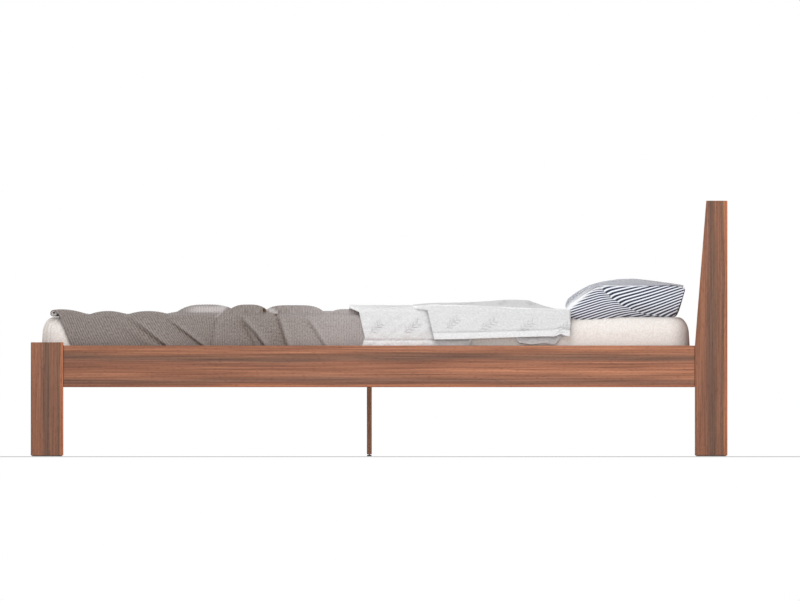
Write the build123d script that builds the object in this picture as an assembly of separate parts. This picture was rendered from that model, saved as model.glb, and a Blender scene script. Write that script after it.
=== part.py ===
"""Panel bed with a raked headboard, made up with a throw, a turned-back quilt and two pillows.

Millimetres. +X runs from the foot to the head, +Y to the left as seen from the foot, +Z up. The
origin is on the floor, at the middle of the bed's plan.
"""

import os
from math import radians, sqrt, tan

from build123d import *

# Mattress: the bed is built round it
mattress_length = 1990.0
mattress_width = 1190.0
mattress_height = 160.0
mattress_corner_radius = 60.0
mattress_edge_radius = 38.0
cover_thickness = 3.0
cover_slack = 0.5
mattress_foot_gap = 2.0
mattress_head_gap = 24.0
mattress_post_gap = 5.0

# Rails
rail_height = 128.0
rail_thickness = 28.0
rail_underside = 212.0
rail_reveal = 4.0
head_reveal = 8.0
slat_seat_depth = 91.0

# Posts and headboard
post_width = 100.0
foot_post_rise = 10.0
head_post_height = 785.0
head_post_top_width = 65.0
headboard_thickness = 27.0
wood_edge_radius = 2.0
pad_thickness = 2.0
pad_inset = 4.0

# Slats and their cleats
cleat_width = 36.0
cleat_height = 34.0
slat_count = 15
slat_width = 70.0
slat_thickness = 18.0
slat_edge_radius = 3.0
slat_end_gap = 3.0
slat_inset = 5.0
strap_width = 20.0
strap_thickness = 1.0
strap_offset = 300.0

# Centre beam and its hangers
beam_width = 40.0
beam_height = 34.0
beam_end_gap = 1.0
beam_side_gap = 0.5
hanger_sheet = 2.0
hanger_depth = 40.0
hanger_cheek = 28.0
hanger_ear = 24.0

# Centre leg and its leveller
leg_thickness = 15.0
leg_tine = 15.0
leg_top_gap = 4.0
leg_bolt_radius = 3.0
leg_bolt_head_radius = 5.5
leg_bolt_head_height = 3.6
leg_nut_height = 5.0
leveller_pad_radius = 7.0
leveller_pad_height = 4.0
leveller_up_travel = 2.0
leveller_down_travel = 8.0
leveller_radius = 3.0
leveller_grip = 10.0
insert_radius = 4.6
insert_length = 12.0
thread_slack = 0.05

# Bed bolts
bolt_radius = 4.0
bolt_hole_slack = 0.5
bolt_head_radius = 6.5
bolt_head_height = 8.0
bolt_tip = 8.0
washer_radius = 10.0
washer_thickness = 1.6
counterbore_radius = 11.0
cap_thickness = 3.0
cap_room = 2.0
barrel_radius = 6.0
barrel_length = 20.0
barrel_depth = 60.0

# Dowels and screws
dowel_radius = 5.0
dowel_length = 50.0
side_dowel_offset = 40.0
cross_dowel_offset = 22.0
headboard_dowel_count = 3
headboard_dowel_margin = 60.0
screw_radius = 2.0
screw_head_radius = 4.0
screw_head_height = 2.5
cleat_screw_length = 50.0
cleat_screw_count = 6
cleat_screw_margin = 90.0
hanger_screw_length = 20.0
hanger_screw_margin = 8.0
slat_screw_length = 40.0

# Throw
throw_thickness = 5.0
throw_foot_inset = 51.0
throw_tuck = 45.0
throw_lean = 22.0
throw_corner_radius = 30.0
drape_gap = 1.0
layer_gap = 0.5
rail_clearance = 6.5
# Crests and valleys from its foot edge to its head edge: share of its length, rise of its
# underside over the mattress, and swell of its side
throw_folds = (
    (0.00, 14.0, 0.0),
    (0.03, 17.0, 2.0),
    (0.09, 4.0, 0.0),
    (0.16, 13.0, 4.0),
    (0.21, 3.0, 0.0),
    (0.28, 13.0, 4.0),
    (0.36, 7.0, 1.0),
    (0.41, 28.0, 4.0),
    (0.49, 34.0, 5.0),
    (0.53, 18.0, 1.0),
    (0.58, 33.0, 5.0),
    (0.63, 22.0, 1.0),
    (0.68, 33.0, 4.0),
    (0.78, 30.0, 3.0),
    (0.82, 9.0, 0.0),
    (0.87, 17.0, 1.0),
    (0.91, 1.0, 0.0),
    (1.00, 1.0, 0.0),
)

# Quilt
quilt_length = 630.0
quilt_overlap = 84.0
quilt_side_thickness = 5.0
quilt_top_thickness = 27.0
quilt_corner_radius = 22.0
quilt_tuck = 10.0
fold_back_length = 428.0
fold_back_thickness = 13.0
fold_back_hem_rise = 20.0
fold_back_side_reach = 22.0

# Pillows
pillow_depth = 368.0
pillow_pair_gap = 66.0
pillow_crown = 117.0
pillow_ear_height = 92.0
pillow_nose_height = 25.0
pillow_crown_share = 0.56
pillow_undercut = 20.0
pillow_waist = 10.0
pillow_head_gap = 14.0
pillow_foot_gap = 3.0
pillow_side_inset = 22.0
pillow_end_share = 0.80
pillow_shoulder_share = 0.95
pillow_rest_gap = 0.4
case_thickness = 2.0
case_slack = 0.5

# Places that follow from the driving dimensions
rail_top = rail_underside + rail_height
slat_seat = rail_top - slat_seat_depth
slat_top = slat_seat + slat_thickness
mattress_top = slat_top + mattress_height
foot_post_height = rail_top + foot_post_rise

lying_length = mattress_foot_gap + mattress_length + mattress_head_gap
bed_length = lying_length + post_width - head_reveal + rail_reveal + rail_thickness
foot_face = -bed_length / 2
head_face = bed_length / 2
foot_post_inner = foot_face + post_width
head_post_front = head_face - post_width
side_rail_length = head_post_front - foot_post_inner
foot_rail_outer = foot_face + rail_reveal
foot_rail_inner = foot_rail_outer + rail_thickness
head_rail_front = head_post_front + head_reveal
leg_x = (foot_rail_inner + head_rail_front) / 2

post_inner = mattress_width / 2 + mattress_post_gap
throw_side = mattress_width / 2 + drape_gap
quilt_side = throw_side + throw_thickness + layer_gap
rail_inner = quilt_side + quilt_side_thickness + rail_clearance
rail_outer = rail_inner + rail_thickness
rail_middle = rail_inner + rail_thickness / 2
post_outer = rail_outer + rail_reveal

mattress_foot = foot_rail_inner + mattress_foot_gap
mattress_head = mattress_foot + mattress_length
pillow_head = mattress_head - pillow_head_gap
pillow_foot = pillow_head - pillow_depth
quilt_head = pillow_foot - pillow_foot_gap
quilt_foot = quilt_head - quilt_length
throw_foot = mattress_foot + throw_foot_inset
throw_head = quilt_foot + quilt_overlap
throw_length = throw_head - throw_foot

rake_run = post_width - head_post_top_width
rake_rise = head_post_height - rail_top
rail_mid_height = rail_underside + rail_height / 2

leg_bolt_height = slat_seat - beam_height / 2
leg_half_width = beam_width / 2 + beam_side_gap + leg_tine
leg_foot = leveller_pad_height + leveller_up_travel
leveller_top = leg_foot + leveller_down_travel + leveller_grip

SIDES = {"right": -1, "left": 1}
ENDS = {"foot": -1, "head": 1}


def block(x, y, z):
    """A plain block between two values on each axis."""
    size = Box(abs(x[1] - x[0]), abs(y[1] - y[0]), abs(z[1] - z[0]))
    return Pos((x[0] + x[1]) / 2, (y[0] + y[1]) / 2, (z[0] + z[1]) / 2) * size


def rod(start, direction, radius, length):
    """A cylinder that starts at a point and runs along a direction."""
    align = (Align.CENTER, Align.CENTER, Align.MIN)
    return Plane(origin=start, z_dir=direction) * Cylinder(radius, length, align=align)


def wood_screw(start, direction, length):
    """A countersunk screw with its head flush at the start point."""
    align = (Align.CENTER, Align.CENTER, Align.MIN)
    head = Cone(screw_head_radius, screw_radius, screw_head_height, align=align)
    return Plane(origin=start, z_dir=direction) * head + rod(start, direction, screw_radius, length)


def prism_along_y(points, y):
    """A prism with a polygon of (x, z) points as its section, between two values of y."""
    outline = Wire.make_polygon([(px, y[0], pz) for px, pz in points])
    return extrude(Face(outline), amount=y[1] - y[0], dir=(0, 1, 0))


def eased(part):
    """The part with all its edges rounded over, as sanded timber is."""
    return fillet(part.edges(), wood_edge_radius)


def cut_by(part, cutters):
    """The part with every cutter taken out of it."""
    for cutter in cutters:
        part = part - cutter
    return part


def evenly(first, last, count):
    """Evenly spaced values from the first to the last."""
    return [first + (last - first) * i / (count - 1) for i in range(count)]


def save(node, shape):
    """Writes one node, or a group of like pieces as one node."""
    whole = Compound(children=list(shape)) if isinstance(shape, list) else shape
    export_step(whole, f"parts/{node}.step")


# Bed bolts: each runs along the bed, through a post's width, into a barrel nut in a side rail


class BedBolt:
    """One bolted joint between a side rail and a post, with its holes and its pieces."""

    def __init__(self, side, end):
        self.into_rail = (-end, 0, 0)
        self.y = side * rail_middle
        self.across = side
        self.mouth = (end * bed_length / 2, self.y, rail_mid_height)
        self.joint_x = end * side_rail_length / 2
        self.inward = -end
        depth = cap_thickness + cap_room + bolt_head_height + washer_thickness
        self.seat_x = self.mouth[0] + self.inward * depth
        self.counterbore_depth = depth

    def at(self, x):
        """A point on the bolt's axis."""
        return (x, self.y, rail_mid_height)

    @property
    def nut_x(self):
        return self.joint_x + self.inward * barrel_depth

    def bolt(self):
        head_start = self.seat_x - self.inward * (washer_thickness + bolt_head_height)
        tip_x = self.nut_x + self.inward * (barrel_radius + bolt_tip)
        shank = rod(self.at(head_start), self.into_rail, bolt_radius, abs(tip_x - head_start))
        return rod(self.at(head_start), self.into_rail, bolt_head_radius, bolt_head_height) + shank

    def washer(self):
        start = self.at(self.seat_x - self.inward * washer_thickness)
        disc = rod(start, self.into_rail, washer_radius, washer_thickness)
        return disc - rod(start, self.into_rail, bolt_radius, washer_thickness)

    def cap(self):
        return rod(self.mouth, self.into_rail, counterbore_radius, cap_thickness)

    def barrel_nut(self):
        middle = Vector(*self.at(self.nut_x))
        start = middle + Vector(0, self.across * barrel_length / 2, 0)
        barrel = rod(start, (0, -self.across, 0), barrel_radius, barrel_length)
        through = self.at(self.nut_x - self.inward * barrel_radius)
        return barrel - rod(through, self.into_rail, bolt_radius, 2 * barrel_radius)

    def post_holes(self):
        hole_radius = bolt_radius + bolt_hole_slack
        return [
            rod(self.mouth, self.into_rail, counterbore_radius, self.counterbore_depth),
            rod(self.mouth, self.into_rail, hole_radius, post_width),
        ]

    def rail_holes(self):
        hole_radius = bolt_radius + bolt_hole_slack
        run = barrel_depth + barrel_radius + bolt_tip + bolt_hole_slack
        barrel_start = Vector(*self.at(self.nut_x)) + Vector(0, self.across * barrel_length / 2, 0)
        barrel_run = barrel_length / 2 + rail_thickness / 2
        return [
            rod(self.at(self.joint_x), self.into_rail, hole_radius, run),
            rod(barrel_start, (0, -self.across, 0), barrel_radius, barrel_run),
        ]


# Dowels: half of each dowel sits in either piece


def side_rail_dowels(side, end):
    """The two dowels beside a bed bolt, along the bed."""
    start = end * side_rail_length / 2 + end * dowel_length / 2
    heights = [rail_mid_height + step * side_dowel_offset for step in (-1, 1)]
    return [rod((start, side * rail_middle, z), (-end, 0, 0), dowel_radius, dowel_length) for z in heights]


def across_dowel(side, x, z):
    """A dowel across the bed, at the end of a rail or panel that meets a post's inner face."""
    start = (x, side * (post_inner + dowel_length / 2), z)
    return rod(start, (0, -side, 0), dowel_radius, dowel_length)


def cross_rail_dowels(side, end):
    """The two dowels at one end of the foot rail or the head rail."""
    x = foot_rail_outer + rail_thickness / 2 if end < 0 else head_rail_front + rail_thickness / 2
    return [across_dowel(side, x, rail_mid_height + step * cross_dowel_offset) for step in (-1, 1)]


def headboard_dowels(side):
    """The dowels up one edge of the headboard panel, on its raked middle line."""
    low = rail_top + headboard_dowel_margin
    high = head_post_height - headboard_dowel_margin
    heights = evenly(low, high, headboard_dowel_count)
    middle = head_rail_front + headboard_thickness / 2
    return [across_dowel(side, middle + rake_run * (z - rail_top) / rake_rise, z) for z in heights]


# Posts and their pads


def foot_post(side):
    """A plank post with its wide face to the side."""
    y = (side * post_inner, side * post_outer)
    post = eased(block((foot_face, foot_post_inner), y, (pad_thickness, foot_post_height)))
    dowels = side_rail_dowels(side, ENDS["foot"]) + cross_rail_dowels(side, ENDS["foot"])
    bolt = BedBolt(side, ENDS["foot"])
    return cut_by(post, bolt.post_holes() + dowels)


def head_post(side):
    """A plank post whose front edge rakes back from the rail's top, with a plumb back."""
    outline = [
        (head_post_front, pad_thickness),
        (head_face, pad_thickness),
        (head_face, head_post_height),
        (head_face - head_post_top_width, head_post_height),
        (head_post_front, rail_top),
    ]
    low, high = sorted((side * post_inner, side * post_outer))
    post = eased(prism_along_y(outline, (low, high)))
    dowels = side_rail_dowels(side, ENDS["head"]) + cross_rail_dowels(side, ENDS["head"])
    bolt = BedBolt(side, ENDS["head"])
    return cut_by(post, bolt.post_holes() + dowels + headboard_dowels(side))


def post_pad(side, end):
    """A felt pad under a post."""
    x = (end * (bed_length / 2 - pad_inset), end * (bed_length / 2 - post_width + pad_inset))
    y = (side * (post_inner + pad_inset), side * (post_outer - pad_inset))
    return block(x, y, (0, pad_thickness))


# Rails and headboard


def cleat_screws(side):
    """The screws that run through a cleat's inner face into its rail."""
    reach = side_rail_length / 2 - cleat_screw_margin
    z = slat_seat - cleat_height / 2
    y = side * (rail_inner - cleat_width)
    places = evenly(-reach, reach, cleat_screw_count)
    return [wood_screw((x, y, z), (0, side, 0), cleat_screw_length) for x in places]


def side_rail(side):
    """A side rail between the posts."""
    x = (foot_post_inner, head_post_front)
    rail = eased(block(x, (side * rail_inner, side * rail_outer), (rail_underside, rail_top)))
    cutters = cleat_screws(side)
    for end in ENDS.values():
        cutters += BedBolt(side, end).rail_holes() + side_rail_dowels(side, end)
    return cut_by(rail, cutters)


def cross_rail(end):
    """The foot rail or the head rail, between the posts' inner faces."""
    front = foot_rail_outer if end < 0 else head_rail_front
    x = (front, front + rail_thickness)
    rail = eased(block(x, (-post_inner, post_inner), (rail_underside, rail_top)))
    dowels = [d for side in SIDES.values() for d in cross_rail_dowels(side, end)]
    return cut_by(rail, dowels + hanger_screws(end))


def headboard_panel():
    """The raked panel that stands on the head rail."""
    outline = [
        (head_rail_front, rail_top),
        (head_rail_front + headboard_thickness, rail_top),
        (head_rail_front + headboard_thickness + rake_run, head_post_height),
        (head_rail_front + rake_run, head_post_height),
    ]
    panel = eased(prism_along_y(outline, (-post_inner, post_inner)))
    return cut_by(panel, [d for side in SIDES.values() for d in headboard_dowels(side)])


# Slats, cleats and straps


def slat_places():
    """The middle of each slat along the bed."""
    reach = side_rail_length / 2 - slat_inset - slat_width / 2
    return evenly(-reach, reach, slat_count)


def slat_screws(x):
    """The two screws that hold an end slat down to the cleats."""
    y = post_inner - slat_end_gap - (post_inner - slat_end_gap - rail_inner + cleat_width) / 2
    return [wood_screw((x, side * y, slat_top), (0, 0, -1), slat_screw_length) for side in SIDES.values()]


def end_slat_screws():
    """The screws of the first slat and the last one."""
    places = slat_places()
    return slat_screws(places[0]) + slat_screws(places[-1])


def slat(x, screwed):
    """One slat across the bed, with its long edges rounded."""
    half = post_inner - slat_end_gap
    board = block((x - slat_width / 2, x + slat_width / 2), (-half, half), (slat_seat, slat_top))
    board = fillet(board.edges().filter_by(Axis.Y), slat_edge_radius)
    return cut_by(board, slat_screws(x)) if screwed else board


def cleat(side):
    """The batten along a side rail that the slats rest on."""
    x = (foot_post_inner, head_post_front)
    y = (side * (rail_inner - cleat_width), side * rail_inner)
    batten = block(x, y, (slat_seat - cleat_height, slat_seat))
    return cut_by(batten, cleat_screws(side) + end_slat_screws())


def slat_strap(side):
    """The webbing that spaces the slats, tacked to their underside."""
    places = slat_places()
    x = (places[0] - slat_width / 2, places[-1] + slat_width / 2)
    y = (side * (strap_offset - strap_width / 2), side * (strap_offset + strap_width / 2))
    return block(x, y, (slat_seat - strap_thickness, slat_seat))


# Centre beam, hangers and leg


def hanger_face(end):
    """Where a hanger's back plate meets its cross rail."""
    return foot_rail_inner if end < 0 else head_rail_front


def hanger_screws(end):
    """The four screws of one hanger, two through each ear."""
    out = beam_width / 2 + beam_side_gap + hanger_sheet + hanger_ear / 2
    mid = slat_seat - beam_height + hanger_cheek / 2
    heights = (mid - hanger_cheek / 2 + hanger_screw_margin, mid + hanger_cheek / 2 - hanger_screw_margin)
    x = hanger_face(end) - end * hanger_sheet
    return [
        wood_screw((x, side * out, z), (end, 0, 0), hanger_screw_length)
        for side in SIDES.values()
        for z in heights
    ]


def beam_hanger(end):
    """A folded steel saddle: back plate with two ears, seat and two cheeks."""
    face = hanger_face(end)
    inside = beam_width / 2 + beam_side_gap
    outside = inside + hanger_sheet
    low = slat_seat - beam_height - hanger_sheet
    high = slat_seat - beam_height + hanger_cheek
    plate_x = (face, face - end * hanger_sheet)
    arm_x = (face, face - end * hanger_depth)
    saddle = block(plate_x, (-outside - hanger_ear, outside + hanger_ear), (low, high))
    saddle += block(arm_x, (-outside, outside), (low, low + hanger_sheet))
    for side in SIDES.values():
        saddle += block(arm_x, (side * inside, side * outside), (low, high))
    return cut_by(saddle, hanger_screws(end))


def leg_bolt_hole():
    """The hole that the leg's bolt fills, across the leg's tines and the beam."""
    start = (leg_x, -leg_half_width, leg_bolt_height)
    return rod(start, (0, 1, 0), leg_bolt_radius, 2 * leg_half_width)


def centre_beam():
    """The bearer under the slats' middles."""
    gap = hanger_sheet + beam_end_gap
    x = (foot_rail_inner + gap, head_rail_front - gap)
    beam = block(x, (-beam_width / 2, beam_width / 2), (slat_seat - beam_height, slat_seat))
    return beam - leg_bolt_hole()


def centre_leg():
    """A board leg, forked at its top to straddle the beam."""
    x = (leg_x - leg_thickness / 2, leg_x + leg_thickness / 2)
    board = block(x, (-leg_half_width, leg_half_width), (leg_foot, slat_seat - leg_top_gap))
    inside = beam_width / 2 + beam_side_gap
    notch = block(x, (-inside, inside), (slat_seat - beam_height, slat_seat))
    floor_point = (leg_x, 0, leg_foot)
    stud_room = leveller_top + leveller_up_travel + thread_slack - leg_foot
    cutters = [
        notch,
        leg_bolt_hole(),
        rod(floor_point, (0, 0, 1), insert_radius, insert_length),
        rod(floor_point, (0, 0, 1), leveller_radius + thread_slack, stud_room),
    ]
    return cut_by(board, cutters)


def leg_bolt():
    """The leg's bolt, with its head on the right and its thread through to the left."""
    start = (leg_x, -leg_half_width - leg_bolt_head_height, leg_bolt_height)
    shank_length = leg_bolt_head_height + 2 * leg_half_width + leg_nut_height
    head = rod(start, (0, 1, 0), leg_bolt_head_radius, leg_bolt_head_height)
    return head + rod(start, (0, 1, 0), leg_bolt_radius, shank_length)


def leg_nut():
    """The hexagon nut on the leg's bolt."""
    start = (leg_x, leg_half_width, leg_bolt_height)
    hexagon = RegularPolygon(leg_bolt_head_radius, 6)
    nut = Plane(origin=start, z_dir=(0, 1, 0)) * extrude(hexagon, leg_nut_height)
    return nut - rod(start, (0, 1, 0), leg_bolt_radius, leg_nut_height)


def leg_insert():
    """The threaded bush pressed into the leg's foot."""
    start = (leg_x, 0, leg_foot)
    bush = rod(start, (0, 0, 1), insert_radius, insert_length)
    return bush - rod(start, (0, 0, 1), leveller_radius + thread_slack, insert_length)


def leveller_stud():
    """The stud that screws up into the leg."""
    start = (leg_x, 0, leveller_pad_height)
    return rod(start, (0, 0, 1), leveller_radius, leveller_top - leveller_pad_height)


def leveller_pad():
    """The round foot under the stud."""
    pad = rod((leg_x, 0, 0), (0, 0, 1), leveller_pad_radius, leveller_pad_height)
    return fillet(pad.edges().sort_by(Axis.Z)[-1:], leveller_pad_height / 4)


# Mattress


def soft_block(shrink):
    """A block with rounded corners and edges, drawn in from the mattress's size all round."""
    x = (mattress_foot + shrink, mattress_head - shrink)
    half = mattress_width / 2 - shrink
    slab = block(x, (-half, half), (slat_top + shrink, mattress_top - shrink))
    slab = fillet(slab.edges().filter_by(Axis.Z), mattress_corner_radius - shrink)
    flats = slab.faces().filter_by(Axis.Z)
    return fillet(flats.edges(), mattress_edge_radius - shrink)


def mattress_core():
    """The foam block."""
    return soft_block(cover_thickness + cover_slack)


def mattress_cover():
    """The knitted cover, as a closed skin round the core."""
    return soft_block(0) - soft_block(cover_thickness)


# Draped cloth


def drape_section(x, lean, inner_half, inner_top, side_thickness, top_thickness, corner, hem):
    """The closed outline of a cloth that lies over the mattress and hangs down both sides.

    Its plane leans: the lower a point is, the further towards the head it lies.
    """

    def point(y, z):
        return Vector(x + lean * (inner_top - z), y, z)

    def bend(y, z, radius_y, radius_z, side):
        """A quarter round from the side up to the top, as its middle point."""
        share = 1 - sqrt(0.5)
        return point(side * (y - radius_y * share), z - radius_z * share)

    outer_half = inner_half + side_thickness
    outer_top = inner_top + top_thickness
    shoulder = inner_top - corner
    flat_half = inner_half - corner
    corner_y = corner + side_thickness
    corner_z = corner + top_thickness
    edges = [
        Line(point(-outer_half, hem), point(-outer_half, shoulder)),
        ThreePointArc(
            point(-outer_half, shoulder),
            bend(outer_half, outer_top, corner_y, corner_z, -1),
            point(-flat_half, outer_top),
        ),
        Line(point(-flat_half, outer_top), point(flat_half, outer_top)),
        ThreePointArc(
            point(flat_half, outer_top),
            bend(outer_half, outer_top, corner_y, corner_z, 1),
            point(outer_half, shoulder),
        ),
        Line(point(outer_half, shoulder), point(outer_half, hem)),
        Line(point(outer_half, hem), point(inner_half, hem)),
        Line(point(inner_half, hem), point(inner_half, shoulder)),
        ThreePointArc(
            point(inner_half, shoulder),
            bend(inner_half, inner_top, corner, corner, 1),
            point(flat_half, inner_top),
        ),
        Line(point(flat_half, inner_top), point(-flat_half, inner_top)),
        ThreePointArc(
            point(-flat_half, inner_top),
            bend(inner_half, inner_top, corner, corner, -1),
            point(-inner_half, shoulder),
        ),
        Line(point(-inner_half, shoulder), point(-inner_half, hem)),
        Line(point(-inner_half, hem), point(-outer_half, hem)),
    ]
    return Wire(edges)


def throw():
    """The ribbed throw over the foot half, with its crests and valleys across the bed."""
    lean = tan(radians(throw_lean))
    sections = [
        drape_section(
            x=throw_foot + share * throw_length,
            lean=lean * (1 - share),
            inner_half=throw_side + swell,
            inner_top=mattress_top + rise,
            side_thickness=throw_thickness,
            top_thickness=throw_thickness,
            corner=throw_corner_radius,
            hem=rail_top - throw_tuck,
        )
        for share, rise, swell in throw_folds
    ]
    return Solid.make_loft(sections, True)


def quilt_layer(stations, side_thickness, top_thickness, hem):
    """One layer of the quilt through stations of x and of its lift off the mattress's side and top."""
    sections = [
        drape_section(
            x=x,
            lean=0,
            inner_half=mattress_width / 2 + side_lift,
            inner_top=mattress_top + top_lift,
            side_thickness=side_thickness,
            top_thickness=top_thickness,
            corner=quilt_corner_radius,
            hem=hem,
        )
        for x, side_lift, top_lift in stations
    ]
    return Solid.make_loft(sections, True)


def quilt():
    """The quilt across the middle, lapped over the throw, with its head end turned back."""
    over_throw = drape_gap + throw_thickness + layer_gap
    throw_cleared = throw_head + throw_thickness
    side_head = quilt_head + fold_back_side_reach
    lower_stations = [
        (quilt_foot, over_throw, over_throw),
        (throw_cleared, over_throw, over_throw),
        (throw_cleared + throw_thickness, drape_gap, drape_gap),
        (side_head, drape_gap, drape_gap),
    ]
    lower = quilt_layer(lower_stations, quilt_side_thickness, quilt_top_thickness, rail_top - quilt_tuck)
    over_lower = (drape_gap + quilt_side_thickness, drape_gap + quilt_top_thickness)
    upper_stations = [(x, *over_lower) for x in (quilt_head - fold_back_length, side_head)]
    upper = quilt_layer(
        upper_stations, fold_back_thickness, fold_back_thickness, rail_top + fold_back_hem_rise
    )
    # The hanging sides reach a little further towards the head than the top does
    pillow_room = block(
        (quilt_head, quilt_head + 2 * fold_back_side_reach),
        (-mattress_width / 2, mattress_width / 2),
        (slat_top, head_post_height),
    )
    return lower + upper - pillow_room


# Pillows


def pillow_section(y, share, waist, shrink):
    """One upright section of a pillow: flat sole, drawn-in head side, crowned top, blunt nose."""
    sole = mattress_top + pillow_rest_gap
    foot = pillow_foot + waist + shrink
    head = pillow_head - waist - shrink
    middle = foot + (head - foot) * pillow_crown_share
    points = {
        "sole_foot": (foot + pillow_undercut, sole + shrink),
        "sole_head": (head - pillow_undercut, sole + shrink),
        "ear": (head, sole + pillow_ear_height * share - shrink),
        "crown": (middle, sole + pillow_crown * share - shrink),
        "nose": (foot, sole + pillow_nose_height),
    }
    p = {name: Vector(px, y, pz) for name, (px, pz) in points.items()}
    edges = [
        Line(p["sole_foot"], p["sole_head"]),
        Line(p["sole_head"], p["ear"]),
        ThreePointArc(p["ear"], p["crown"], p["nose"]),
        Line(p["nose"], p["sole_foot"]),
    ]
    return Wire(edges)


def pillow_form(side, shrink):
    """A pillow's closed form, drawn in from its outer size all round."""
    near = mattress_width / 2 - pillow_side_inset - shrink
    far = pillow_pair_gap / 2 + shrink
    stations = (
        (0.0, pillow_end_share, 0.0),
        (0.2, pillow_shoulder_share, pillow_waist / 2),
        (0.5, 1.0, pillow_waist),
        (0.8, pillow_shoulder_share, pillow_waist / 2),
        (1.0, pillow_end_share, 0.0),
    )
    sections = [
        pillow_section(side * (near + (far - near) * along), share, waist, shrink)
        for along, share, waist in stations
    ]
    return Solid.make_loft(sections)


def pillow_filling(side):
    """The stuffed inner pillow."""
    return pillow_form(side, case_thickness + case_slack)


def pillowcase(side):
    """The case, as a closed skin round the filling."""
    return pillow_form(side, 0) - pillow_form(side, case_thickness)


def build():
    """Makes every node and writes it."""
    for name, side in SIDES.items():
        save(f"foot_post_{name}", foot_post(side))
        save(f"head_post_{name}", head_post(side))
        save(f"side_rail_{name}", side_rail(side))
        save(f"slat_cleat_{name}", cleat(side))
        save(f"slat_strap_{name}", slat_strap(side))
        save(f"pillow_filling_{name}", pillow_filling(side))
        save(f"pillowcase_{name}", pillowcase(side))
        for end_name, end in ENDS.items():
            save(f"felt_pad_{end_name}_{name}", post_pad(side, end))
    for name, end in ENDS.items():
        save(f"{name}_rail", cross_rail(end))
        save(f"beam_hanger_{name}", beam_hanger(end))
    save("headboard_panel", headboard_panel())
    for i, x in enumerate(slat_places()):
        save(f"slat_{i + 1:02d}", slat(x, screwed=i in (0, slat_count - 1)))
    save("centre_beam", centre_beam())
    save("centre_leg", centre_leg())
    save("leg_bolt", leg_bolt())
    save("leg_nut", leg_nut())
    save("leg_insert", leg_insert())
    save("leveller_stud", leveller_stud())
    save("leveller_pad", leveller_pad())
    corners = [(side, end) for side in SIDES.values() for end in ENDS.values()]
    bolts = [BedBolt(side, end) for side, end in corners]
    save("bed_bolts", [b.bolt() for b in bolts])
    save("bolt_washers", [b.washer() for b in bolts])
    save("barrel_nuts", [b.barrel_nut() for b in bolts])
    save("bolt_caps", [b.cap() for b in bolts])
    save("side_rail_dowels", [d for side, end in corners for d in side_rail_dowels(side, end)])
    save("cross_rail_dowels", [d for side, end in corners for d in cross_rail_dowels(side, end)])
    save("headboard_dowels", [d for side in SIDES.values() for d in headboard_dowels(side)])
    save("cleat_screws", [s for side in SIDES.values() for s in cleat_screws(side)])
    save("hanger_screws", [s for end in ENDS.values() for s in hanger_screws(end)])
    save("slat_screws", end_slat_screws())
    save("mattress_core", mattress_core())
    save("mattress_cover", mattress_cover())
    save("throw", throw())
    save("quilt", quilt())


os.makedirs("parts", exist_ok=True)
build()
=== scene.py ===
# %% [markdown]
# # A made-up panel bed
# The bed is a low walnut frame with a slatted base, a foam mattress, a ribbed throw across the foot, a quilt
# that is turned back at the head, and two striped pillows. The joinery comes as finished solids, so this
# lesson gives them their timber and fittings, then sews the soft pieces over them as surfaces worked out
# with numpy. Everything is in metres, in the solids' own frame: +X runs to the head, +Z up.

import bmesh
import bpy
import numpy as np
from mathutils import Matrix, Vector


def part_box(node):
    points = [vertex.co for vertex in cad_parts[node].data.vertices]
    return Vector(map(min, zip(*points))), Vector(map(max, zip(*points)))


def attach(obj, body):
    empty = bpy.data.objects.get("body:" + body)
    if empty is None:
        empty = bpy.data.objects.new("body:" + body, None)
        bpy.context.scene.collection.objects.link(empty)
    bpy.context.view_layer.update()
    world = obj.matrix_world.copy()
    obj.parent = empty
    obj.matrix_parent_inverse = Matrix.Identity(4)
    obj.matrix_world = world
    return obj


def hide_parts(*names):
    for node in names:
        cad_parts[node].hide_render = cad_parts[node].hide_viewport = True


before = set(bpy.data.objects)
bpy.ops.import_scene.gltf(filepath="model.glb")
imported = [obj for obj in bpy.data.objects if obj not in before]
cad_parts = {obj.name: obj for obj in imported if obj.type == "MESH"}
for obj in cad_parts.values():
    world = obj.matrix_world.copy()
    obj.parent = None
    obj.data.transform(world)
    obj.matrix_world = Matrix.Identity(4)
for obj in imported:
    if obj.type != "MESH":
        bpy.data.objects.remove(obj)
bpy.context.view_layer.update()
scene = bpy.context.scene

# %% [markdown]
# ## Camera
# The picture is a plain side elevation: posts at both ends are seen square on and nothing converges. An
# orthographic camera draws exactly that. Its scale is the width of the picture in metres, which follows from
# the size of one pixel on the bed, and its middle from the pixel where the frame's origin lies.

# %% Camera
PICTURE_WIDTH_PX = 800
PICTURE_HEIGHT_PX = 601
METRES_PER_PX = 0.003072
ORIGIN_PX_ACROSS = 379.1
ORIGIN_PX_DOWN = 456.2
CAMERA_DISTANCE = 16.0

camera = bpy.data.objects.new("camera", bpy.data.cameras.new("camera"))
scene.collection.objects.link(camera)
camera.data.type = "ORTHO"
camera.data.ortho_scale = PICTURE_WIDTH_PX * METRES_PER_PX
camera.data.clip_end = 100.0
camera.location = (
    (PICTURE_WIDTH_PX / 2 - ORIGIN_PX_ACROSS) * METRES_PER_PX,
    -CAMERA_DISTANCE,
    (ORIGIN_PX_DOWN - PICTURE_HEIGHT_PX / 2) * METRES_PER_PX,
)
camera.rotation_euler = (np.pi / 2, 0.0, 0.0)
scene.camera = camera
print("the picture is", round(camera.data.ortho_scale, 3), "m wide")

# %% [markdown]
# ## Nodes and colours
# Every finish below is a small tree of nodes. One function adds a node with its settings and its links, and
# another turns the hex colours that people read off a screen into the linear light that Blender mixes.

# %% Colour and node helpers
# A Mix node's sockets for colours.
MIX_FACTOR = 0
MIX_A = 6
MIX_B = 7


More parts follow.
